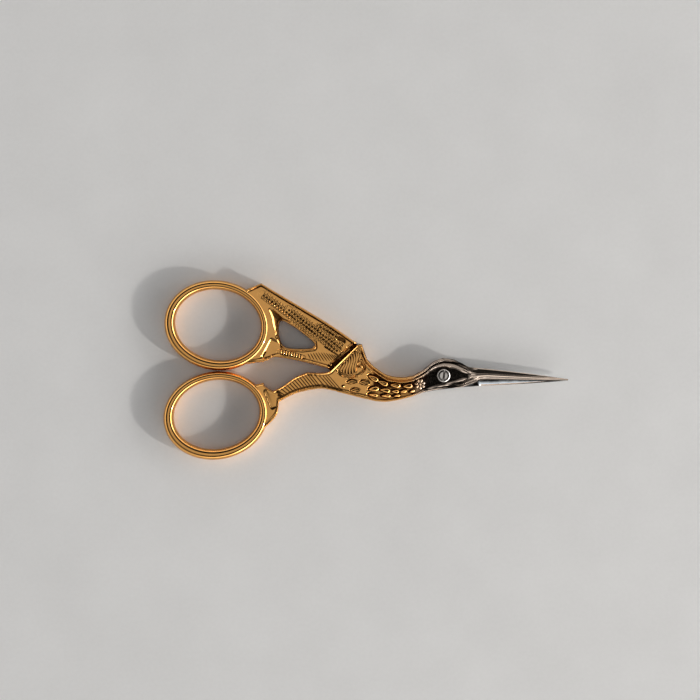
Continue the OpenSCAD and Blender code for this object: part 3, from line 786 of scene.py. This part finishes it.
def body_relief(xy, w, v, h):
    """Carving of the body: moats round the leaves, the scalloped foot of the tuft and the root of the leg."""
    if xy[0, 0] > -4:
        return h
    if xy[0, 0] < -28:
        return h + facet(xy, (-39.3, -7.8), (-41.15, -3.4), 0.4, 0.75, 0.09)
    cut = np.zeros(len(xy))
    for x, y, a, b, t in NECK_FEATHERS + BODY_LEAVES:
        f = math.radians(t)
        rel = xy - [x - 0.12, y + 0.16]
        p = (rel[:, 0] * math.cos(f) + rel[:, 1] * math.sin(f)) / (a * 1.14)
        q = (-rel[:, 0] * math.sin(f) + rel[:, 1] * math.cos(f)) / (b * 1.3)
        cut = np.minimum(cut, -0.36 * step(1.0, 0.7, np.hypot(p, q)))
    cut = np.minimum(cut, -0.34 * step(0.34, 0.12, distance(xy, TUFT_FOOT)))
    cut = np.minimum(cut, -0.42 * step(0.24, 0.1, distance(xy, TUFT_HOOK)))
    tuft = distance(xy, [(-22.3, 1.9), (-20.2, 2.4), (-19.7, 3.6)])
    cut = np.minimum(cut, -0.2 * step(2.3, 2.0, tuft) * step(0.9, 1.1, v * w))
    return h + cut


def leg_back_relief(xy, w, v, h):
    """The root of the leg is carved on the back as on the front."""
    return body_relief(xy, w, v, h) if xy[0, 0] < -28 else h


def blade_back_relief(xy, w, v, h):
    """Bevel along the back of the lower blade, where it shows beside the upper one."""
    if xy[0, 0] < 6:
        return h
    return np.minimum(h, 0.64 * (1 - v) * w - 0.26 + 2 * step(8.5, 6, xy[:, 0]))


# Part: finger bows

BOW_STEPS = 150
HOLE_HALF = 9.75
BAND_W = 2.33
BAND_SWELL = 0.28
# Share of its room that the band fills
BAND_TRIM = 0.96


def bow(centre, half_w, tilt, heavy):
    """Middle line, outward directions and widths of the band round a finger hole, thickest towards heavy."""
    f = 2 * np.pi * np.arange(BOW_STEPS) / BOW_STEPS
    turn = np.array([[math.cos(tilt), -math.sin(tilt)], [math.sin(tilt), math.cos(tilt)]])
    out = np.column_stack([np.cos(f) / HOLE_HALF, np.sin(f) / half_w])
    out = (out / np.linalg.norm(out, axis=1)[:, None]) @ turn.T
    width = BAND_W + BAND_SWELL * np.cos(np.arctan2(out[:, 1], out[:, 0]) - math.radians(heavy))
    inner = np.column_stack([HOLE_HALF * np.cos(f), half_w * np.sin(f)]) @ turn.T + np.array(centre)
    return inner + out * width[:, None] / 2, out, width * BAND_TRIM


REAR_BOW = bow((-51.401, 11.556), 7.95, math.radians(-10), 200)
FRONT_BOW = bow((-51.746, -8.866), 7.75, math.radians(10), 240)


WING_X = (-41.7, -19.2)
WING_CORNER = (-41.5, 21.0)
WING_CREST = (-19.8, 7.45)
RIM_W = 0.58
RIM_STEPS = 12


def wing_at(f):
    return mix(*WING_X, f)


WINDOW = [(wing_at(0.19), 9.0), (wing_at(0.25), 6.6), (wing_at(0.42), 6.2), (wing_at(0.535), 6.5),
          (wing_at(0.53), 7.6), (wing_at(0.43), 9.5), (wing_at(0.31), 11.4), (wing_at(0.20), 12.3)]


def window_rim():
    """Middle line, outward directions and widths of the rim round the window of the wing."""
    n = len(WINDOW)
    ring = [WINDOW[(k + n - 1) % n] for k in range(n + 3)]
    p = smooth_line(ring, 1 + np.arange(n * RIM_STEPS) / RIM_STEPS)
    run = np.roll(p, -1, 0) - np.roll(p, 1, 0)
    run /= np.linalg.norm(run, axis=1)[:, None]
    out = np.column_stack([run[:, 1], -run[:, 0]])
    return p + out * RIM_W / 2, out, np.full(len(p), RIM_W)


def rim_heights(points):
    """The rim of the window is low on the side of the slope."""
    return FULL_T - 0.1 - 1.7 * step(-36.6, -37.3, points[:, 0]) * step(6.4, 7.4, points[:, 1])


# Part: front half

def front_bays():
    """From the root at the bow through leg, shoulder, neck and head to the tip."""
    root = [[(-43.2, -2.112), (-41.3, -12.494)], [(-41.3, -1.81), (-38.8, -10.075)],
            [(-40.3, -2.717), (-37.8, -8.462)], LEG_START]
    return [
        (root, [root_section, leg_section], 40),
        (LEG_UPPER, [leg_section, leg_section], None),
        (LEG_LOWER, [leg_section, slot_section], None),
        (SHOULDER, [slot_section, slot_section], None),
        ([SHOULDER[1], THROAT[0]], [slot_section, crown_section], 5),
        (THROAT[0:3], [crown_section, bend_section, neck_section], None),
        (THROAT[2:6], [neck_section, neck_section], None),
        (THROAT[5:9], [neck_section, head_section], None),
        (THROAT[8:11], [head_section, chin_section], None),
        ([THROAT[10]] + sweep_pairs(1), [chin_section, cheek_section, blade_section, blade_section], 36),
        (blade_pairs(1), [blade_section, tip_section], 60),
    ]


LAP_OVERRUN = 20
LAP_CLEARANCE = 0.05
PAST_TIP = 75


def lap_prism(name, p, q):
    """Room for the other half behind the lap plane, from the line p to q on to the tip."""
    p, q = np.array(p), np.array(q)
    run = (q - p) / np.linalg.norm(q - p) * LAP_OVERRUN
    a, b = p - run - [LAP_CLEARANCE, 0], q + run - [LAP_CLEARANCE, 0]
    far = np.array([PAST_TIP, 0])
    return prism(name, [tuple(v) for v in (a, b, b + far, a + far)], BELOW, LAP_Z + LAP_GAP / 2)


# Round holes on the pivot: the front half's bore and the seat of the screw's head, and the rear half's bore
FRONT_BORE_R, SEAT_R, SEAT_Z = 1.04, 1.56, 2.40
REAR_BORE_R, BOSS_R = 0.99, 1.65
LEG_BEADS = [(-41.3, -1.95, 1.0, 0.32, 0.3, 0.4, 0), (-25.85, 0.75, 1.2, 0.28, 0.26, 0.32, 0)]


def make_front():
    """Bow, leg, body, neck and head on the viewer's side, and the upper blade of the beak."""
    body = skin("front_half_dressed", front_bays(), 96, 40, 0.2, body_relief, leg_back_relief)
    combined(body, "DIFFERENCE", [lap_prism("lap_front", *LEG_FOOT),
                                  prism("room_front", FRONT_BOW[0].tolist())])
    combined(body, "UNION", [band("band_front", *FRONT_BOW, FULL_T)])
    beads = [feathers("beads_" + side_name(back), LEG_BEADS, back, 16, 10, 0.0, 0.0)
             for back in (False, True)]
    combined(body, "UNION", neck_detail(False) + leg_detail(False) + leg_detail(True) + beads)
    combined(body, "DIFFERENCE", [round_prism("bore_front", FRONT_BORE_R),
                                  round_prism("seat_front", SEAT_R, SEAT_Z)])
    return body


# Part: rear half

def wing_top(f):
    return wing_at(f), mix(WING_CORNER[1], WING_CREST[1], f) + 0.2 * math.sin(math.pi * f)


def wing_bays():
    """From the root at the bow to the heel at the slot."""
    root = [WING_CORNER, (-41.9, 3.024)]
    end = [wing_top(0.7), (wing_at(0.45), 3.05)]
    heel = [WING_CREST, HEEL_FOOT]
    turn = [tuple(mix(np.array(end[k]), np.array(heel[k]), 0.93)) for k in (0, 1)]
    return [
        ([[(-44.9, 19.574), (-44.9, 2.612)], root], [wing_root_section, wing_section], 24),
        ([root, [wing_top(0.2), (wing_at(0.07), 3.5)], [wing_top(0.4), (wing_at(0.17), 4.2)], end, turn],
         [wing_section, wing_section], 165),
        ([turn, heel], [wing_section, heel_section], 6),
    ]


def under_bays():
    """From behind the slot through the neck and head on the back to the tip."""
    crown = [CROWN, (-24.5, -3.55)]
    start = [(-20.6, 6.6), (-26.6, 1.9)]
    head = with_margin(THROAT)
    return [
        ([start, [HEEL_TOP, HEEL_FOOT], with_margin([crown])[0]], [slot_section, slot_section], 14),
        (with_margin([crown, [(-18, 5.2), (-20.9, -4.5)], THROAT[1]]), [slot_section, bend_section], None),
        (head[1:6], [bend_section, neck_section], None),
        (head[5:9], [neck_section, head_section], None),
        (head[8:11], [head_section, chin_section], None),
        ([head[10]] + swapped(sweep_pairs(-1)),
         [chin_section, low_blade_section, low_blade_section, low_blade_section], 24),
        (swapped(blade_pairs(-1)), [low_blade_section, low_tip_section], 60),
    ]


def make_rear():
    """Bow and wing, the body, neck and head on the back, and the lower blade of the beak."""
    wing = skin("rear_half_dressed", wing_bays(), 130, 100, 0.2, wing_relief, wing_relief)
    under = skin("under", under_bays(), 30, 96, 0.25, blade_back_relief, body_relief)
    lap = lap_prism("lap_rear", HEEL_FOOT, HEEL_TOP)
    for v in lap.data.vertices:
        v.co.z = FULL_T - v.co.z
    outward(lap)
    combined(wing, "UNION", [under])
    rim = window_rim()
    combined(wing, "DIFFERENCE", [lap, prism("room_rear", REAR_BOW[0].tolist()),
                                  prism("room_window", rim[0].tolist())])
    combined(wing, "UNION", [band("band_rear", *REAR_BOW, FULL_T),
                             band("rim_window", *rim, rim_heights(rim[0]), sides=16),
                             round_prism("boss", BOSS_R, 0.12, LAP_Z - LAP_GAP / 2)])
    combined(wing, "UNION", wing_detail(False) + wing_detail(True) + neck_detail(True))
    combined(wing, "DIFFERENCE", [round_prism("bore_rear", REAR_BORE_R)])
    return wing


# Part: screw

SHANK_R, HEAD_R = 0.98, 1.5
HEAD_Z, DOME_Z, DOME_H = 2.42, 2.8, 0.53
DOME_STEPS = 18


def make_screw():
    """Shank with a filed tail, and a domed head with its slot."""
    profile = [(0.0, 0.0), (0.85, 0.0), (SHANK_R, 0.12), (SHANK_R, HEAD_Z), (1.44, HEAD_Z), (HEAD_R, 2.48),
               (HEAD_R, DOME_Z)]
    for k in range(1, DOME_STEPS):
        f = math.pi / 2 * k / DOME_STEPS
        profile.append((HEAD_R * math.cos(f) ** 0.9, DOME_Z + DOME_H * math.sin(f)))
    profile.append((0.0, DOME_Z + DOME_H))
    sides = ROUND_SIDES
    verts = [(0, 0, profile[0][1])]
    for r, z in profile[1:-1]:
        for s in range(sides):
            a = 2 * math.pi * s / sides
            verts.append((r * math.cos(a), r * math.sin(a), z))
    verts.append((0, 0, profile[-1][1]))
    faces = [(0, 1 + (s + 1) % sides, 1 + s) for s in range(sides)]
    rows = len(profile) - 2
    for i in range(rows - 1):
        for s in range(sides):
            a, b = 1 + i * sides + s, 1 + i * sides + (s + 1) % sides
            faces.append((a, b, b + sides, a + sides))
    last = 1 + (rows - 1) * sides
    faces += [(last + s, last + (s + 1) % sides, len(verts) - 1) for s in range(sides)]
    screw = outward(from_arrays("pivot_screw_dressed", verts, faces))
    return combined(screw, "DIFFERENCE", [slot_cutter()])


SLOT_TURN = math.radians(-8)
SLOT_ROWS = 33


def slot_cutter():
    """Bar with a floor that dips towards the middle, for the screwdriver slot."""
    floor = [(-0.24, 2.95), (-0.2, 2.88), (-0.08, 2.86), (0.08, 2.86), (0.2, 2.88), (0.24, 2.95)]
    profile = [(-0.24, ABOVE)] + floor + [(0.24, ABOVE)]
    c, s = math.cos(SLOT_TURN), math.sin(SLOT_TURN)
    verts = []
    for y in np.linspace(-2, 2, SLOT_ROWS):
        for x, z in profile:
            verts.append((x * c - y * s, x * s + y * c, z + (0.03 * y * y if z < ABOVE else 0)))
    n, m = len(profile), SLOT_ROWS
    faces = [(i * n + j, i * n + (j + 1) % n, (i + 1) * n + (j + 1) % n, (i + 1) * n + j)
             for i in range(m - 1) for j in range(n)]
    faces += [tuple(range(n))[::-1], tuple(range((m - 1) * n, m * n))]
    return outward(from_arrays("slot", verts, faces))


# Part: finish

CREASE = 0.6
# How far the rays look for metal that closes a place in, and how many there are
HOLLOW_REACH = 0.8 * MM
HOLLOW_RAYS = 14
RAY_START = 0.02 * MM


def to_metres(obj):
    """Scales the mesh to metres and shades it smooth between its creases."""
    mesh = obj.data
    co = np.empty(len(mesh.vertices) * 3)
    mesh.vertices.foreach_get("co", co)
    mesh.vertices.foreach_set("co", co * MM)
    mesh.update()
    mesh.shade_smooth()
    mesh.set_sharp_from_angle(angle=CREASE)
    even = obj.modifiers.new("even_shading", "WEIGHTED_NORMAL")
    even.mode = "FACE_AREA_WITH_ANGLE"
    even.keep_sharp = True
    return baked(obj)


def add_hollows(obj):
    """Writes how closed in each vertex is, from 0 in the open to 1 in a deep hollow."""
    mesh = obj.data
    tree = BVHTree.FromObject(obj, bpy.context.evaluated_depsgraph_get())
    golden = math.pi * (3 - math.sqrt(5))
    fan = []
    for k in range(HOLLOW_RAYS):
        z = 0.25 + 0.75 * (k + 0.5) / HOLLOW_RAYS
        r = math.sqrt(1 - z * z)
        fan.append(Vector((r * math.cos(golden * k), r * math.sin(golden * k), z)))
    out = np.zeros(len(mesh.vertices), np.float32)
    for v in mesh.vertices:
        turn = v.normal.to_track_quat("Z", "Y")
        start = v.co + v.normal * RAY_START
        closed = 0.0
        for d in fan:
            far = tree.ray_cast(start, turn @ d, HOLLOW_REACH)[3]
            if far is not None:
                closed += 1 - far / HOLLOW_REACH
        out[v.index] = closed / HOLLOW_RAYS
    write_floats(mesh, "hollow", out)


def add_marks(obj):
    """Marks the sunk fields that were left dark, painted shade on the inner face in the slot, and the flat
    inner faces that were ground bright.
    """
    mesh = obj.data
    co = np.empty(len(mesh.vertices) * 3)
    mesh.vertices.foreach_get("co", co)
    x, y, z = co.reshape(-1, 3).T / MM
    height = np.abs(z - LAP_Z)
    lap = step(0.08, 0.04, height)
    # Ground between the feathers of the neck and round the eye, darkest in the upper rows and on the head
    sunk = step(1.2, 1.1, height) * step(0.7, 0.85, height) * step(6.4, 5.4, x)
    neck = step(-19.2, -17.0, x) * sunk * (0.66 + 0.34 * np.maximum(step(-3.3, -2.4, y), step(-6, -4.5, x)))
    # Dots and pit of the wing
    pits = 0.9 * step(-41.5, -40.5, x) * step(-19.6, -20.4, x) * step(1.06, 0.94, height) * (y > 2.2)
    # Low places at the root of the beak
    slant = 1.5 * step(-2.4, -1.4, y) * step(-0.7, -1.1, y)
    low = step(0.98, 0.84, height) * step(0.1, 0.2, height)
    root = 0.85 * step(4.8, 5.6, x) * step(7.2, 6.4, x - slant) * low
    # Painted shade: the inner face behind the slot is darkened as the shade of the narrow gap
    inner = lap * (x > -28) * (x < -16.5)
    write_floats(mesh, "field", np.maximum(np.maximum(neck, pits), np.maximum(inner, root)))
    write_floats(mesh, "ground", lap * step(2.5, 3.5, x))


# Part: materials

# Colours of the bare metal and of the patina that stays in its hollows, which on the gold also serves as
# painted shade in the slot
GOLD, GOLD_DARK_PATINA_AND_SHADE = (0.85, 0.43, 0.125, 1), (0.045, 0.01, 0.003, 1)
NICKEL, NICKEL_TARNISH = (0.6, 0.48, 0.39, 1), (0.006, 0.005, 0.004, 1)
SCREW_STEEL, SCREW_TARNISH = (0.7, 0.65, 0.6, 1), (0.02, 0.014, 0.01, 1)
GROUND_STEEL = (0.78, 0.81, 0.83, 1)
FLOOR_TONES = ((0.87, 0.86, 0.845, 1), (0.94, 0.93, 0.915, 1))
# Where the gold plate ends, in metres along the part
PLATE_FADE = (-0.0075, -0.0015)
# Noise scales, per metre: patches of tone, grain, and the waviness of the plate
PATCH_SCALE, GRAIN_SCALE, WAVE_SCALE = 900.0, 5200.0, 330.0
# The patina starts at the first share of closing in, and is full at the second
TARNISH_RANGE = (0.13, 0.34)
TARNISH_ROUGHNESS = 0.5
GILT_POLISH, SCREW_POLISH = 0.06, 0.05
GILT_DENTS, SCREW_DENTS = 0.000006, 0.000012


def shader_group(name, inputs, outputs):
    group = bpy.data.node_groups.new(name, "ShaderNodeTree")
    for label, kind, value in inputs:
        socket = group.interface.new_socket(label, in_out="INPUT", socket_type=kind)
        socket.default_value = value
    for label, kind in outputs:
        group.interface.new_socket(label, in_out="OUTPUT", socket_type=kind)
    return group, group.nodes.new("NodeGroupInput"), group.nodes.new("NodeGroupOutput")


def noise(tree, coords, scale, detail=2.0):
    values = {"Vector": coords.outputs["Object"], "Scale": scale, "Detail": detail}
    return linked(tree, "ShaderNodeTexNoise", values).outputs["Fac"]


def attribute(tree, name):
    return linked(tree, "ShaderNodeAttribute", attribute_name=name).outputs["Fac"]


def eased(tree, value, first, last):
    """0 up to the first value, 1 from the last one on, and smooth between them."""
    values = {"Value": value, "From Min": first, "From Max": last}
    return linked(tree, "ShaderNodeMapRange", values, interpolation_type="SMOOTHSTEP").outputs[0]


def blended(tree, share, a, b):
    """Colour from a to b, each a colour or a link."""
    values = {"Factor": share, "A": a, "B": b}
    return linked(tree, "ShaderNodeMix", values, data_type="RGBA").outputs["Result"]


def make_patina_shade_group():
    """Polished metal with dark patina in its hollows and in the fields that were left dark, and painted shade
    on the inner face in the slot.
    """
    g, gin, gout = shader_group(
        "hollows_patina_and_shade",
        [("Metal", "NodeSocketColor", GOLD), ("Patina and painted shade", "NodeSocketColor", GOLD_DARK_PATINA_AND_SHADE),
         ("Polish", "NodeSocketFloat", GILT_POLISH)],
        [("Color", "NodeSocketColor"), ("Roughness", "NodeSocketFloat"), ("Height", "NodeSocketFloat")])
    coords = g.nodes.new("ShaderNodeTexCoord")
    soft = noise(g, coords, PATCH_SCALE, 4.0)
    grain = noise(g, coords, GRAIN_SCALE, 3.0)
    waves = noise(g, coords, WAVE_SCALE)
    field = attribute(g, "field")
    closed = maths(g, "ADD", attribute(g, "hollow"), maths(g, "MULTIPLY_ADD", soft, 0.16, -0.08))
    # The field mark gives dark patina in the sunk fields and painted shade on the inner face in the slot
    patchy = maths(g, "ADD", field, maths(g, "MULTIPLY_ADD", grain, 0.5, -0.25))
    field_patina_and_slot_shade = maths(g, "MULTIPLY", patchy, field, clamp=True)
    mask = maths(g, "MAXIMUM", eased(g, closed, *TARNISH_RANGE), field_patina_and_slot_shade)
    tone = linked(g, "ShaderNodeMapRange", {"Value": soft, "To Min": 0.86, "To Max": 1.08})
    metal = linked(g, "ShaderNodeVectorMath", {0: gin.outputs["Metal"], 3: tone.outputs[0]},
                   operation="SCALE")
    polish = maths(g, "MULTIPLY_ADD", grain, 0.08, gin.outputs["Polish"])
    rough = linked(g, "ShaderNodeMix", {"Factor": mask, "A": polish, "B": TARNISH_ROUGHNESS})
    height = maths(g, "MULTIPLY_ADD", waves, 2.0, maths(g, "MULTIPLY", grain, mask))
    g.links.new(blended(g, mask, metal.outputs[0], gin.outputs["Patina and painted shade"]), gout.inputs["Color"])
    g.links.new(rough.outputs["Result"], gout.inputs["Roughness"])
    g.links.new(height, gout.inputs["Height"])
    return g


PATINA_SHADE_NODES = make_patina_shade_group()


def new_material(name):
    """A material, its node tree and its Principled BSDF."""
    m = bpy.data.materials.new(name)
    m.use_nodes = True
    return m, m.node_tree, m.node_tree.nodes["Principled BSDF"]


def finish_metal(t, bsdf, metal, dark, polish, dents):
    """Metal that is dark in its hollows, with dents of the given depth in metres."""
    values = {"Metal": metal, "Patina and painted shade": dark, "Polish": polish}
    hollows_patina_and_shade = linked(t, "ShaderNodeGroup", values, node_tree=PATINA_SHADE_NODES)
    values = {"Strength": 1.0, "Distance": dents, "Height": hollows_patina_and_shade.outputs["Height"]}
    bump = linked(t, "ShaderNodeBump", values)
    bsdf.inputs["Metallic"].default_value = 1.0
    t.links.new(hollows_patina_and_shade.outputs["Color"], bsdf.inputs["Base Color"])
    t.links.new(hollows_patina_and_shade.outputs["Roughness"], bsdf.inputs["Roughness"])
    t.links.new(bump.outputs[0], bsdf.inputs["Normal"])


def gilt_material():
    """Gold plate on the handles that ends in bare nickel at the head, both dark in their hollows."""
    m, t, bsdf = new_material("gilt_steel")
    coords = t.nodes.new("ShaderNodeTexCoord")
    split = linked(t, "ShaderNodeSeparateXYZ", {0: coords.outputs["Object"]})
    edge = maths(t, "MULTIPLY_ADD", noise(t, coords, 260.0), 0.003, split.outputs["X"])
    plate = eased(t, edge, *PLATE_FADE)
    metal = blended(t, attribute(t, "ground"), blended(t, plate, GOLD, NICKEL), GROUND_STEEL)
    # Dark of the hollows and fields: patina, and on the gold also painted shade in the slot
    dark = blended(t, plate, GOLD_DARK_PATINA_AND_SHADE, NICKEL_TARNISH)
    finish_metal(t, bsdf, metal, dark, GILT_POLISH, GILT_DENTS)
    return m


def screw_material():
    """Polished steel, dull in the slot."""
    m, t, bsdf = new_material("screw_steel")
    finish_metal(t, bsdf, SCREW_STEEL, SCREW_TARNISH, SCREW_POLISH, SCREW_DENTS)
    return m


def floor_material():
    """Pale plaster with a faint uneven tone."""
    m, t, bsdf = new_material("pale_table")
    coords = t.nodes.new("ShaderNodeTexCoord")
    tone = maths(t, "MULTIPLY_ADD", noise(t, coords, 1300.0), 0.5, noise(t, coords, 55.0, 3.0))
    place = linked(t, "ShaderNodeMapRange", {"Value": tone, "From Min": 0.4, "From Max": 1.1})
    t.links.new(blended(t, place.outputs[0], *FLOOR_TONES), bsdf.inputs["Base Color"])
    bsdf.inputs["Roughness"].default_value = 0.8
    bsdf.inputs["Specular IOR Level"].default_value = 0.2
    return m


# Part: pieces

FINISHES = {"gilt_steel": gilt_material(), "screw_steel": screw_material()}
# Each as the function that makes it, the body that it rides on, the node that it replaces, and its slot
PIECES = [(make_front, "front", "front_half", "gilt_steel"), (make_rear, "rear", "rear_half", "gilt_steel"),
          (make_screw, "rear", "pivot_screw", "screw_steel")]
for make, body, name, slot in PIECES:
    piece = to_metres(make())
    add_hollows(piece)
    add_marks(piece)
    piece.data.materials.clear()
    piece.data.materials.append(FINISHES[slot])
    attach(piece, body)
    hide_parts(name)
    print("PIECE", piece.name, len(piece.data.polygons), "faces")


# Part: studio

TABLE_HALF = 1.5
# The table lies just under the part, so that the two don't share a plane
TABLE_DROP = 0.00002
KEY_AT = (0.745, -0.345, 0.295)
KEY_AIM = (-0.02, 0.005, 0)
KEY_SIZE = (0.04, 0.035)
KEY_POWER = 3.1
KEY_COLOUR = (1.0, 0.97, 0.93)
LENS, SENSOR = 85, 36
# Width and middle of what the photo shows
FRAME_W = 0.1596
FRAME_CENTRE = (-21.32 * MM, 5.84 * MM, 0.0016)


def studio_world():
    """Soft room light: a bright window low on one side, a dark band above it, and a pale panel overhead."""
    world = bpy.data.worlds.new("studio")
    world.use_nodes = True
    t = world.node_tree
    coords = t.nodes.new("ShaderNodeTexCoord")
    split = linked(t, "ShaderNodeSeparateXYZ", {0: coords.outputs["Generated"]})
    light = level_ramp(t, split.outputs["Z"], ROOM_LEVELS)
    for levels, towards, first, last in LIT_SIDES:
        facing = linked(t, "ShaderNodeVectorMath", {0: coords.outputs["Generated"], 1: towards},
                        operation="DOT_PRODUCT")
        share = eased(t, facing.outputs["Value"], first, last)
        light = blended(t, share, light, level_ramp(t, split.outputs["Z"], levels))
    t.links.new(light, t.nodes["Background"].inputs["Color"])
    return world


def level_ramp(t, height, levels):
    ramp = linked(t, "ShaderNodeValToRGB", {0: height})
    stops = ramp.color_ramp.elements
    for k, (place, (r, g, b)) in enumerate(levels):
        e = stops[k] if k < 2 else stops.new(place)
        e.position = place
        e.color = (r, g, b, 1)
    return ramp.outputs[0]


def grey(level, warmth=0.0):
    return level * (1 + warmth), level, level * (1 - warmth)


# Light by height above the horizon, 0 at the horizon and 1 overhead
ROOM_LEVELS = [(0.0, grey(1.3)), (1.0, grey(0.57)), (0.2, grey(1.35)), (0.3, grey(1.1)), (0.37, grey(0.02)),
               (0.86, grey(0.02)), (0.94, grey(0.57))]
NEAR_LEVELS = [(0.0, grey(0.8)), (1.0, grey(0.57)), (0.2, grey(0.85)), (0.32, grey(0.7)), (0.4, grey(0.2)),
               (0.84, grey(0.1)), (0.93, grey(0.57))]
WINDOW_LEVELS = [(0.0, grey(1.0)), (1.0, grey(0.57)), (0.1, grey(1.7)), (0.3, grey(2.1)), (0.38, grey(1.4)),
                 (0.44, grey(0.05)), (0.84, grey(0.05)), (0.93, grey(0.57))]
PANE_LEVELS = [(0.0, grey(1.0)), (1.0, grey(0.57)), (0.08, grey(2.0)), (0.12, grey(6.0)), (0.36, grey(6.0)),
               (0.41, grey(0.3)), (0.46, grey(0.05)), (0.84, grey(0.05)), (0.93, grey(0.57))]
PANEL_LEVELS = [(0.0, grey(0.0)), (1.0, grey(0.95, -0.04))]
# Each as levels, the side that they are on, and where across the sky they start and are full
LIT_SIDES = [(NEAR_LEVELS, (0.0, -1.0, 0.0), 0.0, 0.5), (WINDOW_LEVELS, (0.91, -0.41, 0.0), -0.25, 0.6),
             (PANE_LEVELS, (0.91, -0.41, 0.0), 0.55, 0.72),
             (PANEL_LEVELS, (0.1, -0.02, 0.9948), 0.998, 0.999)]


def add_table():
    t = TABLE_HALF
    table = from_arrays("table", [(-t, -t, 0), (t, -t, 0), (t, t, 0), (-t, t, 0)], [(0, 1, 2, 3)])
    table.data.materials.append(floor_material())
    table.location.z = -TABLE_DROP


def add_key():
    """Low sun from the right."""
    data = bpy.data.lights.new("key", "AREA")
    data.shape = "RECTANGLE"
    data.size, data.size_y = KEY_SIZE
    data.energy = KEY_POWER
    data.color = KEY_COLOUR
    light = bpy.data.objects.new("key", data)
    bpy.context.scene.collection.objects.link(light)
    light.location = KEY_AT
    light.rotation_euler = (Vector(KEY_AIM) - Vector(KEY_AT)).to_track_quat("-Z", "Y").to_euler()


def add_camera():
    """Straight above, as the photo was taken."""
    data = bpy.data.cameras.new("camera")
    data.lens = LENS
    data.sensor_width = SENSOR
    camera = bpy.data.objects.new("camera", data)
    bpy.context.scene.collection.objects.link(camera)
    camera.location = Vector(FRAME_CENTRE) + Vector((0, 0, FRAME_W * LENS / SENSOR))
    bpy.context.scene.camera = camera


add_table()
bpy.context.scene.world = studio_world()
add_key()
add_camera()
bpy.context.scene.view_settings.view_transform = "Standard"
